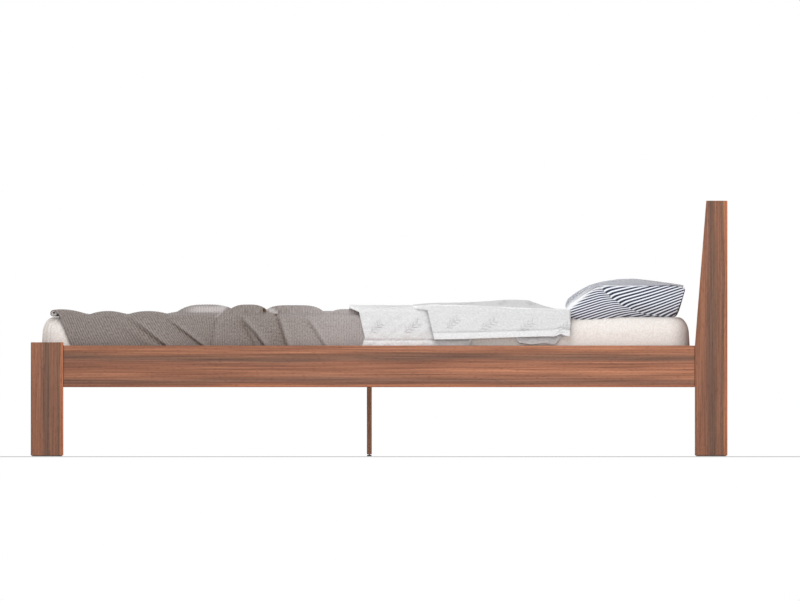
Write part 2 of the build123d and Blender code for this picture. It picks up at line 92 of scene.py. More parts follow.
def linear(colour):
    """A hex colour as linear RGBA: each sRGB channel c becomes c/12.92, or ((c+0.055)/1.055)^2.4 above
    0.04."""
    channel = np.array([int(colour[i : i + 2], 16) for i in (1, 3, 5)]) / 255.0
    light = np.where(channel <= 0.04045, channel / 12.92, ((channel + 0.055) / 1.055) ** 2.4)
    return (*light.tolist(), 1.0)


def add_node(tree, kind, inputs=None, stops=(), **settings):
    """Adds one shader node, whose kind is its type's name after ShaderNode. Settings are its properties.
    Inputs are its sockets by name or number, each with a value, the socket to link from, or a node, of
    which the first output in use is linked. Stops are a colour ramp's (position, hex colour) pairs."""
    node = tree.nodes.new("ShaderNode" + kind)
    for key, value in settings.items():
        setattr(node, key, value)
    for key, value in (inputs or {}).items():
        if isinstance(value, bpy.types.Node):
            value = next(socket for socket in value.outputs if socket.enabled)
        if isinstance(value, bpy.types.NodeSocket):
            tree.links.new(value, node.inputs[key])
        else:
            node.inputs[key].default_value = value
    for number, (position, colour) in enumerate(stops):
        elements = node.color_ramp.elements
        element = elements[number] if number < len(elements) else elements.new(1.0)
        element.position = position
        element.color = linear(colour)
    return node


def new_tree(name):
    """An empty node material: its tree, to which a shader is added last."""
    material = bpy.data.materials.new(name)
    material.use_nodes = True
    material.node_tree.nodes.clear()
    return material, material.node_tree


def finish_tree(tree, inputs):
    """Adds the Principled shader with its inputs, and the output it feeds."""
    add_node(tree, "OutputMaterial", {"Surface": add_node(tree, "BsdfPrincipled", inputs)})


print("white is", linear("#FFFFFF"))

# %% [markdown]
# ## Light
# A catalogue picture is lit by large soft boxes from all round. Here the world is that soft light, with a
# broad lamp above the near side for shape and two weaker ones for the low front and the back. The world shows
# white to the camera and in reflections, but lights the bed at a lower level, so that no colour bleaches.

# %% World and lamps
AMBIENT = 0.50
AIM_HEIGHT = 0.4
LAMPS = {
    # name: (place, size, watts)
    "softbox_near": ((-0.4, -2.9, 3.1), 3.0, 58.0),
    "softbox_low": ((0.2, -5.0, 0.75), 1.4, 34.0),
    "softbox_far": ((0.3, 3.0, 3.0), 2.6, 46.0),
}

scene.view_settings.view_transform = "Standard"
world = bpy.data.worlds.new("soft studio")
scene.world = world
world.use_nodes = True
world.node_tree.nodes.clear()


def seen_directly(tree):
    """1 for the rays that show a background as such: from the camera, in a reflection or through glass."""
    rays = add_node(tree, "LightPath").outputs
    glossy = add_node(tree, "Math", {0: rays["Is Camera Ray"], 1: rays["Is Glossy Ray"]}, operation="ADD")
    through = rays["Is Transmission Ray"]
    return add_node(tree, "Math", {0: glossy, 1: through}, operation="ADD", use_clamp=True)


strength = add_node(
    world.node_tree,
    "Math",
    {0: seen_directly(world.node_tree), 1: 1.0 - AMBIENT, 2: AMBIENT},
    operation="MULTIPLY_ADD",
)
backdrop = add_node(world.node_tree, "Background", {"Color": linear("#FFFFFF"), "Strength": strength})
add_node(world.node_tree, "OutputWorld", {"Surface": backdrop})

for name, (place, size, watts) in LAMPS.items():
    lamp = bpy.data.lights.new(name, "AREA")
    lamp.size = size
    lamp.energy = watts
    holder = bpy.data.objects.new(name, lamp)
    scene.collection.objects.link(holder)
    holder.location = place
    aim = holder.location.copy()
    aim.z -= AIM_HEIGHT
    holder.rotation_euler = aim.to_track_quat("Z", "Y").to_euler()
print(len(LAMPS), "lamps")

# %% [markdown]
# ## From arrays to meshes
# The floor and every soft piece start as an array of points, rows by columns, so one function makes meshes of
# them all. Modelling by hand would do for one bed; an array can be worked out again when a size changes, and
# its rows and columns also give the cloth its own coordinates, which the patterns follow.

# %% Grid helper
def grid_object(name, points, layers=None, keep=None, weld=None):
    """A mesh over a (rows, columns, 3) array: every cell of the grid is one quad, which faces the way that
    the column direction crossed with the row direction points. Layers are named (rows, columns, 2) arrays
    of UV coordinates, keep says which cells are made, and weld merges points closer than that distance,
    which closes seams and poles."""
    rows, columns = points.shape[:2]
    index = np.arange(rows * columns).reshape(rows, columns)
    corners = (index[:-1, :-1], index[:-1, 1:], index[1:, 1:], index[1:, :-1])
    quads = np.stack(corners, axis=-1)
    quads = quads.reshape(-1, 4) if keep is None else quads[keep]
    mesh = bpy.data.meshes.new(name)
    mesh.from_pydata(points.reshape(-1, 3).tolist(), [], quads.tolist())
    for layer_name, values in (layers or {}).items():
        layer = mesh.uv_layers.new(name=layer_name)
        layer.data.foreach_set("uv", values.reshape(-1, 2)[quads.ravel()].ravel())
    work = bmesh.new()
    work.from_mesh(mesh)
    if weld is not None:
        bmesh.ops.remove_doubles(work, verts=work.verts, dist=weld)
    loose = [vertex for vertex in work.verts if not vertex.link_faces]
    bmesh.ops.delete(work, geom=loose, context="VERTS")
    work.to_mesh(mesh)
    work.free()
    mesh.shade_smooth()
    piece = bpy.data.objects.new(name, mesh)
    scene.collection.objects.link(piece)
    print(name, "has", len(mesh.vertices), "points and", len(mesh.polygons), "faces")
    return piece


def ease(amount):
    """A soft step: 0 below 0, 1 above 1, and 3t^2 - 2t^3 between."""
    amount = np.clip(amount, 0.0, 1.0)
    return amount * amount * (3.0 - 2.0 * amount)


def mound(distance, width):
    """A soft mound: 1 in its middle, and exp(-(distance / width)^2) away from it."""
    return np.exp(-((distance / width) ** 2))


print("half way, a soft step is at", ease(0.5), "and a mound of width 1 at", mound(0.5, 1.0).round(3))

# %% [markdown]
# ## Floor
# The bed stands on a plain white board. A bare plane would do from above, but seen edge-on it would vanish,
# so the board is given a little thickness: its edge is the thin line that the feet stand on.

# %% Floor
FLOOR_HALF = 14.0
FLOOR_STEPS = 9
FLOOR_THICK = 0.0026
FADE_START = 2.2
FADE_END = 5.0
FACES_UP = 0.5

edge = np.linspace(-FLOOR_HALF, FLOOR_HALF, FLOOR_STEPS)
floor_x, floor_y = np.meshgrid(edge, edge)
floor = grid_object("floor", np.stack([floor_x, floor_y, 0.0 * floor_x], axis=-1))
thickness = floor.modifiers.new("thickness", "SOLIDIFY")
thickness.thickness = FLOOR_THICK
thickness.offset = -1.0

# Matt white board: it takes the bed's shadow near by, and far off fades into the white of the background.
floor_material, tree = new_tree("matt white board")
place = add_node(tree, "TexCoord").outputs["Object"]
distance = add_node(tree, "VectorMath", {0: place}, operation="LENGTH")
far = add_node(
    tree,
    "MapRange",
    {"Value": distance, "From Min": FADE_START, "From Max": FADE_END},
    interpolation_type="SMOOTHSTEP",
)
facing = add_node(tree, "SeparateXYZ", {0: add_node(tree, "NewGeometry").outputs["Normal"]})
upward = add_node(tree, "Math", {0: facing.outputs["Z"], 1: FACES_UP}, operation="GREATER_THAN")
fade = add_node(tree, "Math", {0: far, 1: seen_directly(tree)}, operation="MULTIPLY")
fade_top = add_node(tree, "Math", {0: fade, 1: upward}, operation="MULTIPLY")
board = add_node(tree, "BsdfDiffuse", {"Color": linear("#F4F4F3")})
white = add_node(tree, "Emission", {"Color": linear("#FFFFFF"), "Strength": 1.0})
mixed = add_node(tree, "MixShader", {0: fade_top, 1: board, 2: white})
add_node(tree, "OutputMaterial", {"Surface": mixed})
floor.data.materials.append(floor_material)

# %% [markdown]
# ## Walnut
# The posts, rails and headboard are planed walnut with an oiled, satin face. What the eye gets is long
# straight grain: broad light and dark bands that wander a little along the board, thin streaks inside them,
# and pores like short dashes. The bands are one ramp read across a board's width, pushed about by slow
# noise; streaks and pores are noise stretched along the grain. Each board is turned by choosing its axes.

# %% Walnut
# Bands across one board, from its lower or foot-side edge.
RAIL_BANDS = (
    (0.00, "#C27B51"),
    (0.05, "#A96F52"),
    (0.13, "#986A54"),
    (0.22, "#B97C5C"),
    (0.36, "#C88562"),
    (0.50, "#B77858"),
    (0.62, "#B37658"),
    (0.70, "#906752"),
    (0.78, "#9D6E54"),
    (0.86, "#BE7E5C"),
    (1.00, "#C78461"),
)
POST_BANDS = (
    (0.00, "#9A684F"),
    (0.10, "#AE7455"),
    (0.26, "#AC7355"),
    (0.38, "#9D6B52"),
    (0.46, "#815E4A"),
    (0.57, "#87624D"),
    (0.66, "#A36F53"),
    (0.78, "#9D6B52"),
    (0.86, "#85614B"),
    (0.91, "#BF7F5B"),
    (1.00, "#C27E51"),
)
# The leg's bands are painted light, paler than a post's for the shade under the bed; only a little of a
# post's width shows on it.
LEG_PAINTED_LIGHT_BANDS = ((0.00, "#D59D7E"), (0.35, "#DBA485"), (0.60, "#C8967A"), (1.00, "#DFAC8E"))
LEG_INSET = 0.1
# A painted highlight along one arris of each board: its tone, and between which places across the board it
# sets in.
ARRIS_HIGHLIGHT = "#C97A52"
RAIL_ARRIS = (0.045, 0.025)
POST_ARRIS = (0.930, 0.950)
# Noise stretched along the grain, as its length and breadth in metres and its octaves.
WANDER = (0.75, 0.045, 2.0)
STREAKS = (0.30, 0.0030, 3.0)
PORES = (0.016, 0.0012, 1.0)
WANDER_SHARE = 0.17
STREAK_TONES = ((0.30, "#9B9191"), (0.50, "#D6D0CE"), (0.68, "#FFFFFF"))
PORE_TONES = ((0.30, "#A79C98"), (0.42, "#FFFFFF"))
# How much streaks and pores darken the wood, how a board lightens along it, and its roughness by streaks.
STREAK_SHARE = 0.9
PORE_SHARE = 0.6
LIGHTENS = {"From Min": -1.0, "To Min": 0.79, "To Max": 1.11}
GLOSS = {"To Min": 0.56, "To Max": 0.42}
AXES = "XYZ"


def walnut(name, along, across, start, width, bands, arris):
    """Planed walnut with its grain along one axis. The position across the board, (c - start) / width, moved
    by slow noise, reads the bands; streaks 3 mm and pores 1.2 mm wide, both stretched along the grain,
    darken them and roughen the surface. Along one edge, between two of those positions, a paler tone is
    painted as a highlight, and the whole board grows a little lighter along its axis."""
    material, tree = new_tree(name)
    place = add_node(tree, "TexCoord").outputs["Object"]
    parts = add_node(tree, "SeparateXYZ", {0: place}).outputs

    def stretched(length, breadth, octaves):
        """Noise of a length along the grain and a breadth across it."""
        scale = [1.0 / breadth] * 3
        scale[AXES.index(along)] = 1.0 / length
        laid = add_node(tree, "Mapping", {"Vector": place, "Scale": scale})
        return add_node(
            tree, "TexNoise", {"Vector": laid, "Scale": 1.0, "Detail": octaves, "Roughness": 0.55}
        )

    wander = add_node(
        tree,
        "MapRange",
        {"Value": stretched(*WANDER), "To Min": -WANDER_SHARE, "To Max": WANDER_SHARE},
    )
    board = add_node(
        tree, "Math", {0: parts[across], 1: 1.0 / width, 2: -start / width}, operation="MULTIPLY_ADD"
    )
    moved = add_node(tree, "Math", {0: board, 1: wander}, operation="ADD")
    folded = add_node(tree, "Math", {0: moved, 1: 1.0}, operation="PINGPONG")
    banded = add_node(tree, "ValToRGB", {"Fac": folded}, stops=bands)
    # Painted highlight: a paler tone along one edge, between two places across the board.
    edge = add_node(tree, "MapRange", {"Value": board, "From Min": arris[0], "From Max": arris[1]})
    edged = add_node(
        tree, "Mix", {MIX_FACTOR: edge, MIX_A: banded, MIX_B: linear(ARRIS_HIGHLIGHT)}, data_type="RGBA"
    )
    streaks = stretched(*STREAKS)
    streak_tone = add_node(tree, "ValToRGB", {"Fac": streaks}, stops=STREAK_TONES)
    pore_tone = add_node(tree, "ValToRGB", {"Fac": stretched(*PORES)}, stops=PORE_TONES)
    drift = add_node(tree, "MapRange", {"Value": parts[along], **LIGHTENS})
    toned = add_node(tree, "HueSaturation", {"Value": drift, "Color": edged})
    for share, tone in ((STREAK_SHARE, streak_tone), (PORE_SHARE, pore_tone)):
        toned = add_node(
            tree,
            "Mix",
            {MIX_FACTOR: share, MIX_A: toned, MIX_B: tone},
            data_type="RGBA",
            blend_type="MULTIPLY",
        )
    gloss = add_node(tree, "MapRange", {"Value": streaks, **GLOSS})
    relief = add_node(tree, "Bump", {"Height": pore_tone, "Strength": 0.35, "Distance": 0.0003})
    finish_tree(
        tree,
        {
            "Base Color": toned,
            "Roughness": gloss,
            "IOR": 1.5,
            "Specular IOR Level": 0.35,
            "Normal": relief,
        },
    )
    return material


print("walnut has", len(RAIL_BANDS), "bands on a rail and", len(POST_BANDS), "on a post")

# %% [markdown]
# ## Boards of walnut
# A joiner cuts each board with its grain along it, because wood is strong that way. So the side rails take
# the walnut lengthwise, the rails and panel between the posts crosswise, and the posts and the leg upright.
# Unwrapping every board would do it too; here each finish counts from its own board's edge, so that the
# bands fall in the same places on both sides of the bed.

# %% Dress the joinery
def dress(nodes, material):
    """Gives each solid its finish."""
    for node in nodes:
        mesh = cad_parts[node].data
        mesh.materials.clear()
        mesh.materials.append(material)
    print(material.name, "on", len(nodes), "pieces")


rail_low, rail_high = (np.array(corner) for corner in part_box("side_rail_right"))
post_low, post_high = (np.array(corner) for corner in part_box("foot_post_right"))
post_width = post_high[0] - post_low[0]
head_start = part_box("head_post_right")[0][0]
leg_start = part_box("centre_leg")[0][0] - LEG_INSET * post_width
both_sides = ("right", "left")

rail_board = ("Z", rail_low[2], rail_high[2] - rail_low[2], RAIL_BANDS, RAIL_ARRIS)
lengthwise = walnut("oiled walnut, grain lengthwise", "X", *rail_board)
crosswise = walnut("oiled walnut, grain crosswise", "Y", *rail_board)
upright_foot = walnut("oiled walnut, foot posts", "Z", "X", post_low[0], post_width, POST_BANDS, POST_ARRIS)
upright_head = walnut("oiled walnut, head posts", "Z", "X", head_start, post_width, POST_BANDS, POST_ARRIS)
# Painted light: the leg's walnut is painted paler for the shade under the bed.
leg_walnut_painted_light = walnut("oiled walnut, leg", "Z", "X", leg_start, post_width, LEG_PAINTED_LIGHT_BANDS, POST_ARRIS)
dress([f"side_rail_{side}" for side in both_sides], lengthwise)
dress(["foot_rail", "head_rail", "headboard_panel"], crosswise)
dress([f"foot_post_{side}" for side in both_sides], upright_foot)
dress(["centre_leg"], leg_walnut_painted_light)
dress([f"head_post_{side}" for side in both_sides], upright_head)

# %% [markdown]
# ## The base and its fittings
# Under the mattress are planed pine slats, cleats and a beam, held by zinc-plated screws and steel hangers,
# spaced by woven tape, with felt under the posts. They show only from below, so their finishes are short:
# stretched noise for pine, fine scratches for zinc, fibres for felt, a plain weave for the tape.

# %% Pine, zinc, felt, plastic and tape
SLAT_COUNT = 15
GRAIN_STRETCH = 0.02


def flecked(name, size, dark, light, inputs, bump=0.0002, stretch=(1.0, 1.0, 1.0)):
    """A finish whose colour runs from dark to light over noise of the given size in metres, stretched by
    axis, with the same noise as a slight relief."""
    material, tree = new_tree(name)
    place = add_node(tree, "TexCoord").outputs["Object"]
    scale = [factor / size for factor in stretch]
    laid = add_node(tree, "Mapping", {"Vector": place, "Scale": scale})
    noise = add_node(tree, "TexNoise", {"Vector": laid, "Scale": 1.0, "Detail": 3.0})
    tone = add_node(tree, "ValToRGB", {"Fac": noise}, stops=((0.3, dark), (0.7, light)))
    relief = add_node(tree, "Bump", {"Height": noise, "Strength": 0.4, "Distance": bump})
    finish_tree(tree, {"Base Color": tone, "Normal": relief, **inputs})
    return material


slats = [f"slat_{number:02d}" for number in range(1, SLAT_COUNT + 1)]
# Planed pine: pale yellow with soft darker summer growth along the piece.
pine_look = (0.006, "#C79F6E", "#E2C79C", {"Roughness": 0.6})
pine_across = flecked("planed pine, crosswise", *pine_look, stretch=(1, GRAIN_STRETCH, 1))
pine_along = flecked("planed pine, lengthwise", *pine_look, stretch=(GRAIN_STRETCH, 1, 1))
# Bright zinc plate: a grey metal with faint rolling marks.
zinc = flecked("bright zinc plate", 0.002, "#A9ABAE", "#C3C5C8", {"Metallic": 1.0, "Roughness": 0.38})
# Pressed wool felt: matt, with short fibres in two browns.
felt = flecked("pressed felt", 0.0015, "#4A3F38", "#6A5B51", {"Roughness": 1.0}, bump=0.0005)
# Moulded polypropylene, brown: an even matt skin.
moulded = flecked("moulded brown plastic", 0.0008, "#4B372C", "#523D31", {"Roughness": 0.5}, bump=0.00005)
# Woven cotton tape: off-white, with the weft showing as fine cross ribs.
tape = flecked("woven cotton tape", 0.0016, "#CFC9BC", "#EAE5DA", {"Roughness": 0.9}, stretch=(1, 0.3, 1))

dress(slats + ["side_rail_dowels", "cross_rail_dowels", "headboard_dowels"], pine_across)
dress([f"slat_cleat_{side}" for side in both_sides] + ["centre_beam"], pine_along)
dress(
    ["bed_bolts", "bolt_washers", "barrel_nuts", "leg_bolt", "leg_nut", "leg_insert", "leveller_stud"]
    + ["cleat_screws", "hanger_screws", "slat_screws", "beam_hanger_foot", "beam_hanger_head"],
    zinc,
)
dress([f"felt_pad_{end}_{side}" for end in ("foot", "head") for side in both_sides], felt)
dress(["bolt_caps", "leveller_pad"], moulded)
dress([f"slat_strap_{side}" for side in both_sides], tape)

# %% [markdown]
# ## Mattress
# The mattress is a foam block in a knitted cover, with soft edges and two upright seams round each foot
# corner. It could be a cube with bevels, but a profile carried round a plan outline gives every edge its
# own roundness. Each ring of points is the outline moved inwards by an inset, at the profile's height
# there, and the rings close on the centre line at the top and the bottom.

# %% Mattress form
TOP_ROUND = 0.034
TOP_FALL = 0.055
BOTTOM_ROUND = 0.016
BOTTOM_RISE = 0.024
BELLY = 0.002
MATTRESS_CORNER = 0.060
# Where the flat of the top and bottom starts, inside the rounding.
FLAT_FROM = 0.02
CORNER_STEPS = 36
SIDE_STEPS = 40
END_STEPS = 24
TURN_STEPS = 12
BOTTOM_STEPS = 8
WALL_STEPS = 14
TOP_STEPS = 14
SEAM_ANGLES = (34.0, 50.0)
SEAM_DEPTH = 0.0022
SEAM_WIDTH = 0.0026
POLE_WELD = 1e-5

mattress_low, mattress_high = (np.array(corner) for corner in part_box("mattress_cover"))
mattress_middle = (mattress_low + mattress_high) / 2
mattress_half = (mattress_high - mattress_low) / 2


def outline_columns():
    """The plan outline as columns: for each, the corner it turns about, as signs, and its outward angle. A
    corner sweeps a quarter turn about one centre, and a straight run slides from one centre to the next."""
    signs = np.array([(1, 1), (-1, 1), (-1, -1), (1, -1), (1, 1)], dtype=float)
    centres = []
    angles = []
    for quarter in range(4):
        sweep = np.linspace(0.0, 1.0, CORNER_STEPS)
        centres.append(np.repeat(signs[quarter : quarter + 1], CORNER_STEPS, axis=0))
        angles.append((quarter + sweep) * np.pi / 2)
        steps = SIDE_STEPS if quarter % 2 == 0 else END_STEPS
        slide = np.linspace(0.0, 1.0, steps)[1:-1, None]
        centres.append(signs[quarter] * (1 - slide) + signs[quarter + 1] * slide)
        angles.append(np.full(steps - 2, (quarter + 1) * np.pi / 2))
    centres = np.concatenate(centres)
    angles = np.concatenate(angles)
    return np.vstack([centres, centres[:1]]), np.append(angles, angles[0])


def mattress_profile():
    """(inset, height) up the side: along the bottom, a quarter ellipse, a slightly bellied wall, a larger
    quarter ellipse, and along the top to the centre line."""
    turn = np.linspace(0.0, np.pi / 2, TURN_STEPS)
    bottom = np.linspace(mattress_half[1], BOTTOM_ROUND + FLAT_FROM, BOTTOM_STEPS)
    top = np.linspace(TOP_ROUND + FLAT_FROM, mattress_half[1], TOP_STEPS)
    wall = np.linspace(0.0, 1.0, WALL_STEPS)[1:-1]
    wall_low = mattress_low[2] + BOTTOM_RISE
    wall_high = mattress_high[2] - TOP_FALL
    inset = [
        bottom,
        BOTTOM_ROUND * (1 - np.sin(turn)) + BELLY,
        BELLY * (1 - np.sin(np.pi * wall)),
        TOP_ROUND * (1 - np.cos(turn)) + BELLY,
        top,
    ]
    height = [
        0 * bottom + mattress_low[2],
        mattress_low[2] + BOTTOM_RISE * (1 - np.cos(turn)),
        wall_low + (wall_high - wall_low) * wall,
        wall_high + TOP_FALL * np.sin(turn),
        0 * top + mattress_high[2],
    ]
    return np.concatenate(inset)[:, None], np.concatenate(height)[:, None]


centres, angles = outline_columns()
inset, height = mattress_profile()
quarter_angle = np.degrees(angles) % 90.0
seam = sum(mound(np.radians(quarter_angle - angle) * MATTRESS_CORNER, SEAM_WIDTH) for angle in SEAM_ANGLES)
foot_corner = centres[:, 0] < 0
inset = inset + SEAM_DEPTH * (seam * foot_corner)[None, :] * (inset < TOP_ROUND)
reach = mattress_half[:2, None, None] - np.maximum(inset, MATTRESS_CORNER)
radius = np.maximum(MATTRESS_CORNER - inset, 0.0)
mattress_points = np.stack(
    [
        mattress_middle[0] + centres[:, 0] * reach[0] + radius * np.cos(angles),
        mattress_middle[1] + centres[:, 1] * reach[1] + radius * np.sin(angles),
        height + 0.0 * inset,
    ],
    axis=-1,
)
mattress = grid_object("mattress", mattress_points, weld=POLE_WELD)

# %% [markdown]
# ## Ticking
# The cover is a knitted ticking over a thin wadding. The eye gets a matt cream cloth with a fine speckle,
# where raised stitches catch the light. Modelled stitches would take millions of points, so noise of about
# their size gives both the tone and the relief.

# %% Mattress finish
# Knitted ticking, cream: tiny raised stitches that catch the light as speckle, drawn at 5 mm so that they
# show, over softer clouds of yarn colour.
ticking_look = {"Roughness": 0.95, "Sheen Weight": 0.15}
ticking = flecked("knitted cream ticking", 0.005, "#EBE1DA", "#FCF8F4", ticking_look, bump=0.0006)
mattress.data.materials.append(ticking)
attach(mattress, "mattress")
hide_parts("mattress_core", "mattress_cover")
print(ticking.name, "on a mattress", 2 * mattress_half, "m in size")

# %% [markdown]
# ## Cloth over the mattress
# The throw and the quilt lie over the mattress the same way: flat on top, a soft turn at each edge, then
# straight down to a hem behind the rail. A cloth simulation would give other folds every time a size changes;
# a formula keeps the folds where they were arranged. Both start from this arch, and add their own folds.

# %% The arch and its folds
# The right edge's last rows on top are closer: from this share of the half width, and how many.
CLOSE_FROM = -0.95
CLOSE_ROWS = 10
RIPPLE_WAVES = 7
RIPPLE_LENGTHS = (0.7, 1.5)
# Vectors shorter than this have no direction.
NO_LENGTH = 1e-12
# A cloth's edge is rounded by this share of its thickness, where it turns by more than this angle.
EDGE_ROUND = 0.3
EDGE_ANGLE = 65.0


def rising(value, start, run):
    """A soft step up: 0 below the start, 1 from start + run on."""
    return ease((value - start) / run)


def falling(value, end, run):
    """A soft step down: 1 up to end - run, 0 from the end on."""
    return ease((end - value) / run)


def arch(across, half_width, top, hem, bend):
    """Cloth over a block: |across| from 0 to 1 runs from the middle to the edge, 1 to 2 round a quarter turn
    of radius bend, and 2 to 3 straight down to the hem. Returns y, z, the turn, the share of the drop, and
    the distance along the cloth from the middle."""
    side = np.sign(across)
    away = np.abs(across)
    flat = np.clip(away, 0.0, 1.0) * (half_width - bend)
    turn = np.clip(away - 1.0, 0.0, 1.0) * np.pi / 2
    drop = np.clip(away - 2.0, 0.0, 1.0)
    y = side * (flat + bend * np.sin(turn))
    z = top - bend * (1.0 - np.cos(turn)) - drop * (top - bend - hem)
    return y, z, turn, drop, side * (flat + bend * turn + drop * (top - bend - hem))


def arch_rows(top_steps, bend_steps, right_steps, left_steps):
    """The rows of an arch from the right hem to the left one, closer together towards the edges, and closest
    where the folds turn over the right edge."""
    swing = np.linspace(-1.0, 1.0, top_steps)
    top = np.interp(0.5 * np.sin(swing * np.pi / 2) + 0.5 * swing, (-1.0, 1.0), (CLOSE_FROM, 1.0))
    top = np.concatenate([np.linspace(-1.0, CLOSE_FROM, CLOSE_ROWS)[:-1], top])
    bend = np.linspace(1.0, 2.0, bend_steps + 1)[1:]
    right = np.linspace(2.0, 3.0, right_steps + 1)[1:]
    left = np.linspace(2.0, 3.0, left_steps + 1)[1:]
    return np.concatenate([-right[::-1], -bend[::-1], top, bend, left])[:, None]


def ripple(x, y, size, seed):
    """Unevenness of about -1 to 1: seven plane waves of about the given size, with seeded turns and
    phases."""
    draw = np.random.default_rng(seed)
    total = 0.0
    for _ in range(RIPPLE_WAVES):
        shortest, longest = RIPPLE_LENGTHS
        turn, phase, length = draw.uniform((0.0, 0.0, shortest), (np.pi, 2 * np.pi, longest))
        total = total + np.sin(2 * np.pi * (x * np.cos(turn) + y * np.sin(turn)) / (size * length) + phase)
    return total / (RIPPLE_WAVES / 2)


def outward(points):
    """Unit normals of a grid: its column direction crossed with its row direction."""
    normal = np.cross(np.gradient(points, axis=1), np.gradient(points, axis=0))
    length = np.linalg.norm(normal, axis=-1, keepdims=True)
    return normal / np.maximum(length, NO_LENGTH)


def thicken(piece, thickness, offset):
    """Gives a sheet its thickness, and rounds the edge of the cloth."""
    solid = piece.modifiers.new("thickness", "SOLIDIFY")
    solid.thickness = thickness
    solid.offset = offset
    hem = piece.modifiers.new("soft edge", "BEVEL")
    hem.width = EDGE_ROUND * thickness
    hem.segments = 2
    hem.limit_method = "ANGLE"
    hem.angle_limit = np.radians(EDGE_ANGLE)


print("cloth helpers ready")

# %% [markdown]
# ## Throw
# The throw is a heavy ribbed knit, laid across the foot of the bed and pulled askew, so that its slack
# gathers in folds. On top the folds stand as rounded humps; over the edge each one turns into a tuck that
# runs down the side at a slant, full on its head side and undercut on its foot side. Sculpting could do
# that once; here each fold and tuck is a row of numbers, read off the real one, that a formula turns into a
# bulge.

# %% Throw form
RIB = 0.008
RIB_HEIGHT = 0.0008
POINTS_PER_RIB = 3
THROW_THICK = 0.003
THROW_TOP = 0.4345
THROW_HEM = 0.297
THROW_SIDE = 0.6030
THROW_BEND = 0.014
THROW_HEAD = 0.022
# Folds on top: start, end, height, fullness, how far from the edge the crest lies, height left at the edge.
TOP_FOLDS = (
    (-1.060, -0.893, 0.0165, 2.0, 0.030, 1.0),
    (-0.893, -0.772, 0.0115, 2.0, 0.030, 1.0),
    (-0.777, -0.640, 0.0115, 2.0, 0.030, 1.0),
    (-0.700, -0.020, 0.0060, 8.0, 0.030, 0.1),
    (-0.632, -0.425, 0.0315, 3.0, 0.046, 0.05),
    (-0.474, -0.330, 0.0315, 3.0, 0.013, 0.10),
    (-0.365, -0.160, 0.0295, 4.0, 0.013, 0.10),
    (-0.163, -0.047, 0.0175, 2.5, 0.013, 0.10),
)
# Folds taller than the first number sink by the second share towards the middle of the bed, others by the
# third.
FOLDS_SINK = (0.02, 0.60, 0.90)
# From this step on the crests lie nearer the edge.
NARROWS = (-0.510, 0.048)
NARROW_INSET = 0.013
# Tucks down the side: the heights and places that each line passes, how far the cloth beside it stands out,
# how much of that is left at the next line, the height from which it grows, and how strong its painted
# shading is.
HEIGHTS = (0.290, 0.342, 0.415, 0.450)
TUCKS = (
    (HEIGHTS, (-0.592, -0.662, -0.762, -0.808), 0.0085, 0.00, 0.432, 0.55),
    (HEIGHTS, (-0.480, -0.548, -0.644, -0.690), 0.0085, 0.15, 0.430, 0.52),
    ((0.290, 0.342, 0.400, 0.427, 0.455), (-0.519, -0.516, -0.508, -0.499, -0.466), 0.0055, 0.8, 0.452, 0.2),
    ((0.290, 0.342, 0.360, 0.409, 0.450), (-0.374, -0.384, -0.391, -0.421, -0.448), -0.0025, 1.0, 0.44, 0.4),
    ((0.290, 0.342, 0.378, 0.406, 0.450), (-0.318, -0.358, -0.384, -0.411, -0.440), 0.0075, 0.1, 0.44, 0.55),
    ((0.290, 0.342, 0.434, 0.455), (-0.270, -0.286, -0.315, -0.322), 0.0085, 0.25, 0.452, 0.62),
    ((0.290, 0.342, 0.416, 0.447), (-0.138, -0.171, -0.220, -0.251), 0.0070, 0.10, 0.446, 0.50),
)
GORE = TUCKS[2][:2]
LAST_BUT_ONE = TUCKS[5][:2]
UNDERCUT = 0.006
TUCK_GROWS = 0.045
TUCK_FALLS = 1.4
# The soft bulge before the first tuck: how far before it, how wide, and how far out.
BULGE_AT = 0.040
BULGE_WIDE = 0.022
BULGE_OUT = 0.0045
# The last tuck's panel would end this far beyond the throw.
PANEL_BEYOND = 0.1
# Painted shade and highlight beside a tuck's line: the shaded line's width; the dip's shade, as share and
# reach;
# the crest's highlight, as share, place and width.
SHADE_LINE_WIDE = 0.0045
DIP_SHADE = (0.60, 0.020)
CREST_HIGHLIGHT = (0.50, 0.016, 0.010)


def top_rise(x, from_edge, to_middle):
    """How high the folds stand on top. Each rises between its start and end as h (1 - |c|^p), where c runs
    from -1 to 1, so that neighbours meet in a crease; it grows from the edge to its crest, sinks towards
    the middle of the bed, and where folds overlap the higher one shows."""
    tall, tall_sinks, low_sinks = FOLDS_SINK
    rise = np.zeros_like(x)
    for start, end, height, fullness, inset, left_at_edge in TOP_FOLDS:
        crest_inset = inset + (NARROW_INSET - inset) * rising(x, *NARROWS)
        centred = np.clip((2.0 * x - start - end) / (end - start), -1.0, 1.0)
        fold = height * (1.0 - np.abs(centred) ** fullness)
        fold = fold * (1.0 - to_middle * (tall_sinks if height > tall else low_sinks))
        rise = np.maximum(rise, fold * (left_at_edge + (1.0 - left_at_edge) * ease(from_edge / crest_inset)))
    return rise


def tuck_lines(z):
    """Where each tuck's line lies at a height, and how far the tuck has grown there."""
    places = [np.interp(z, heights, along) for heights, along, *_ in TUCKS]
    grown = [falling(z, start, TUCK_GROWS) for *_, start, _ in TUCKS]
    return places, grown


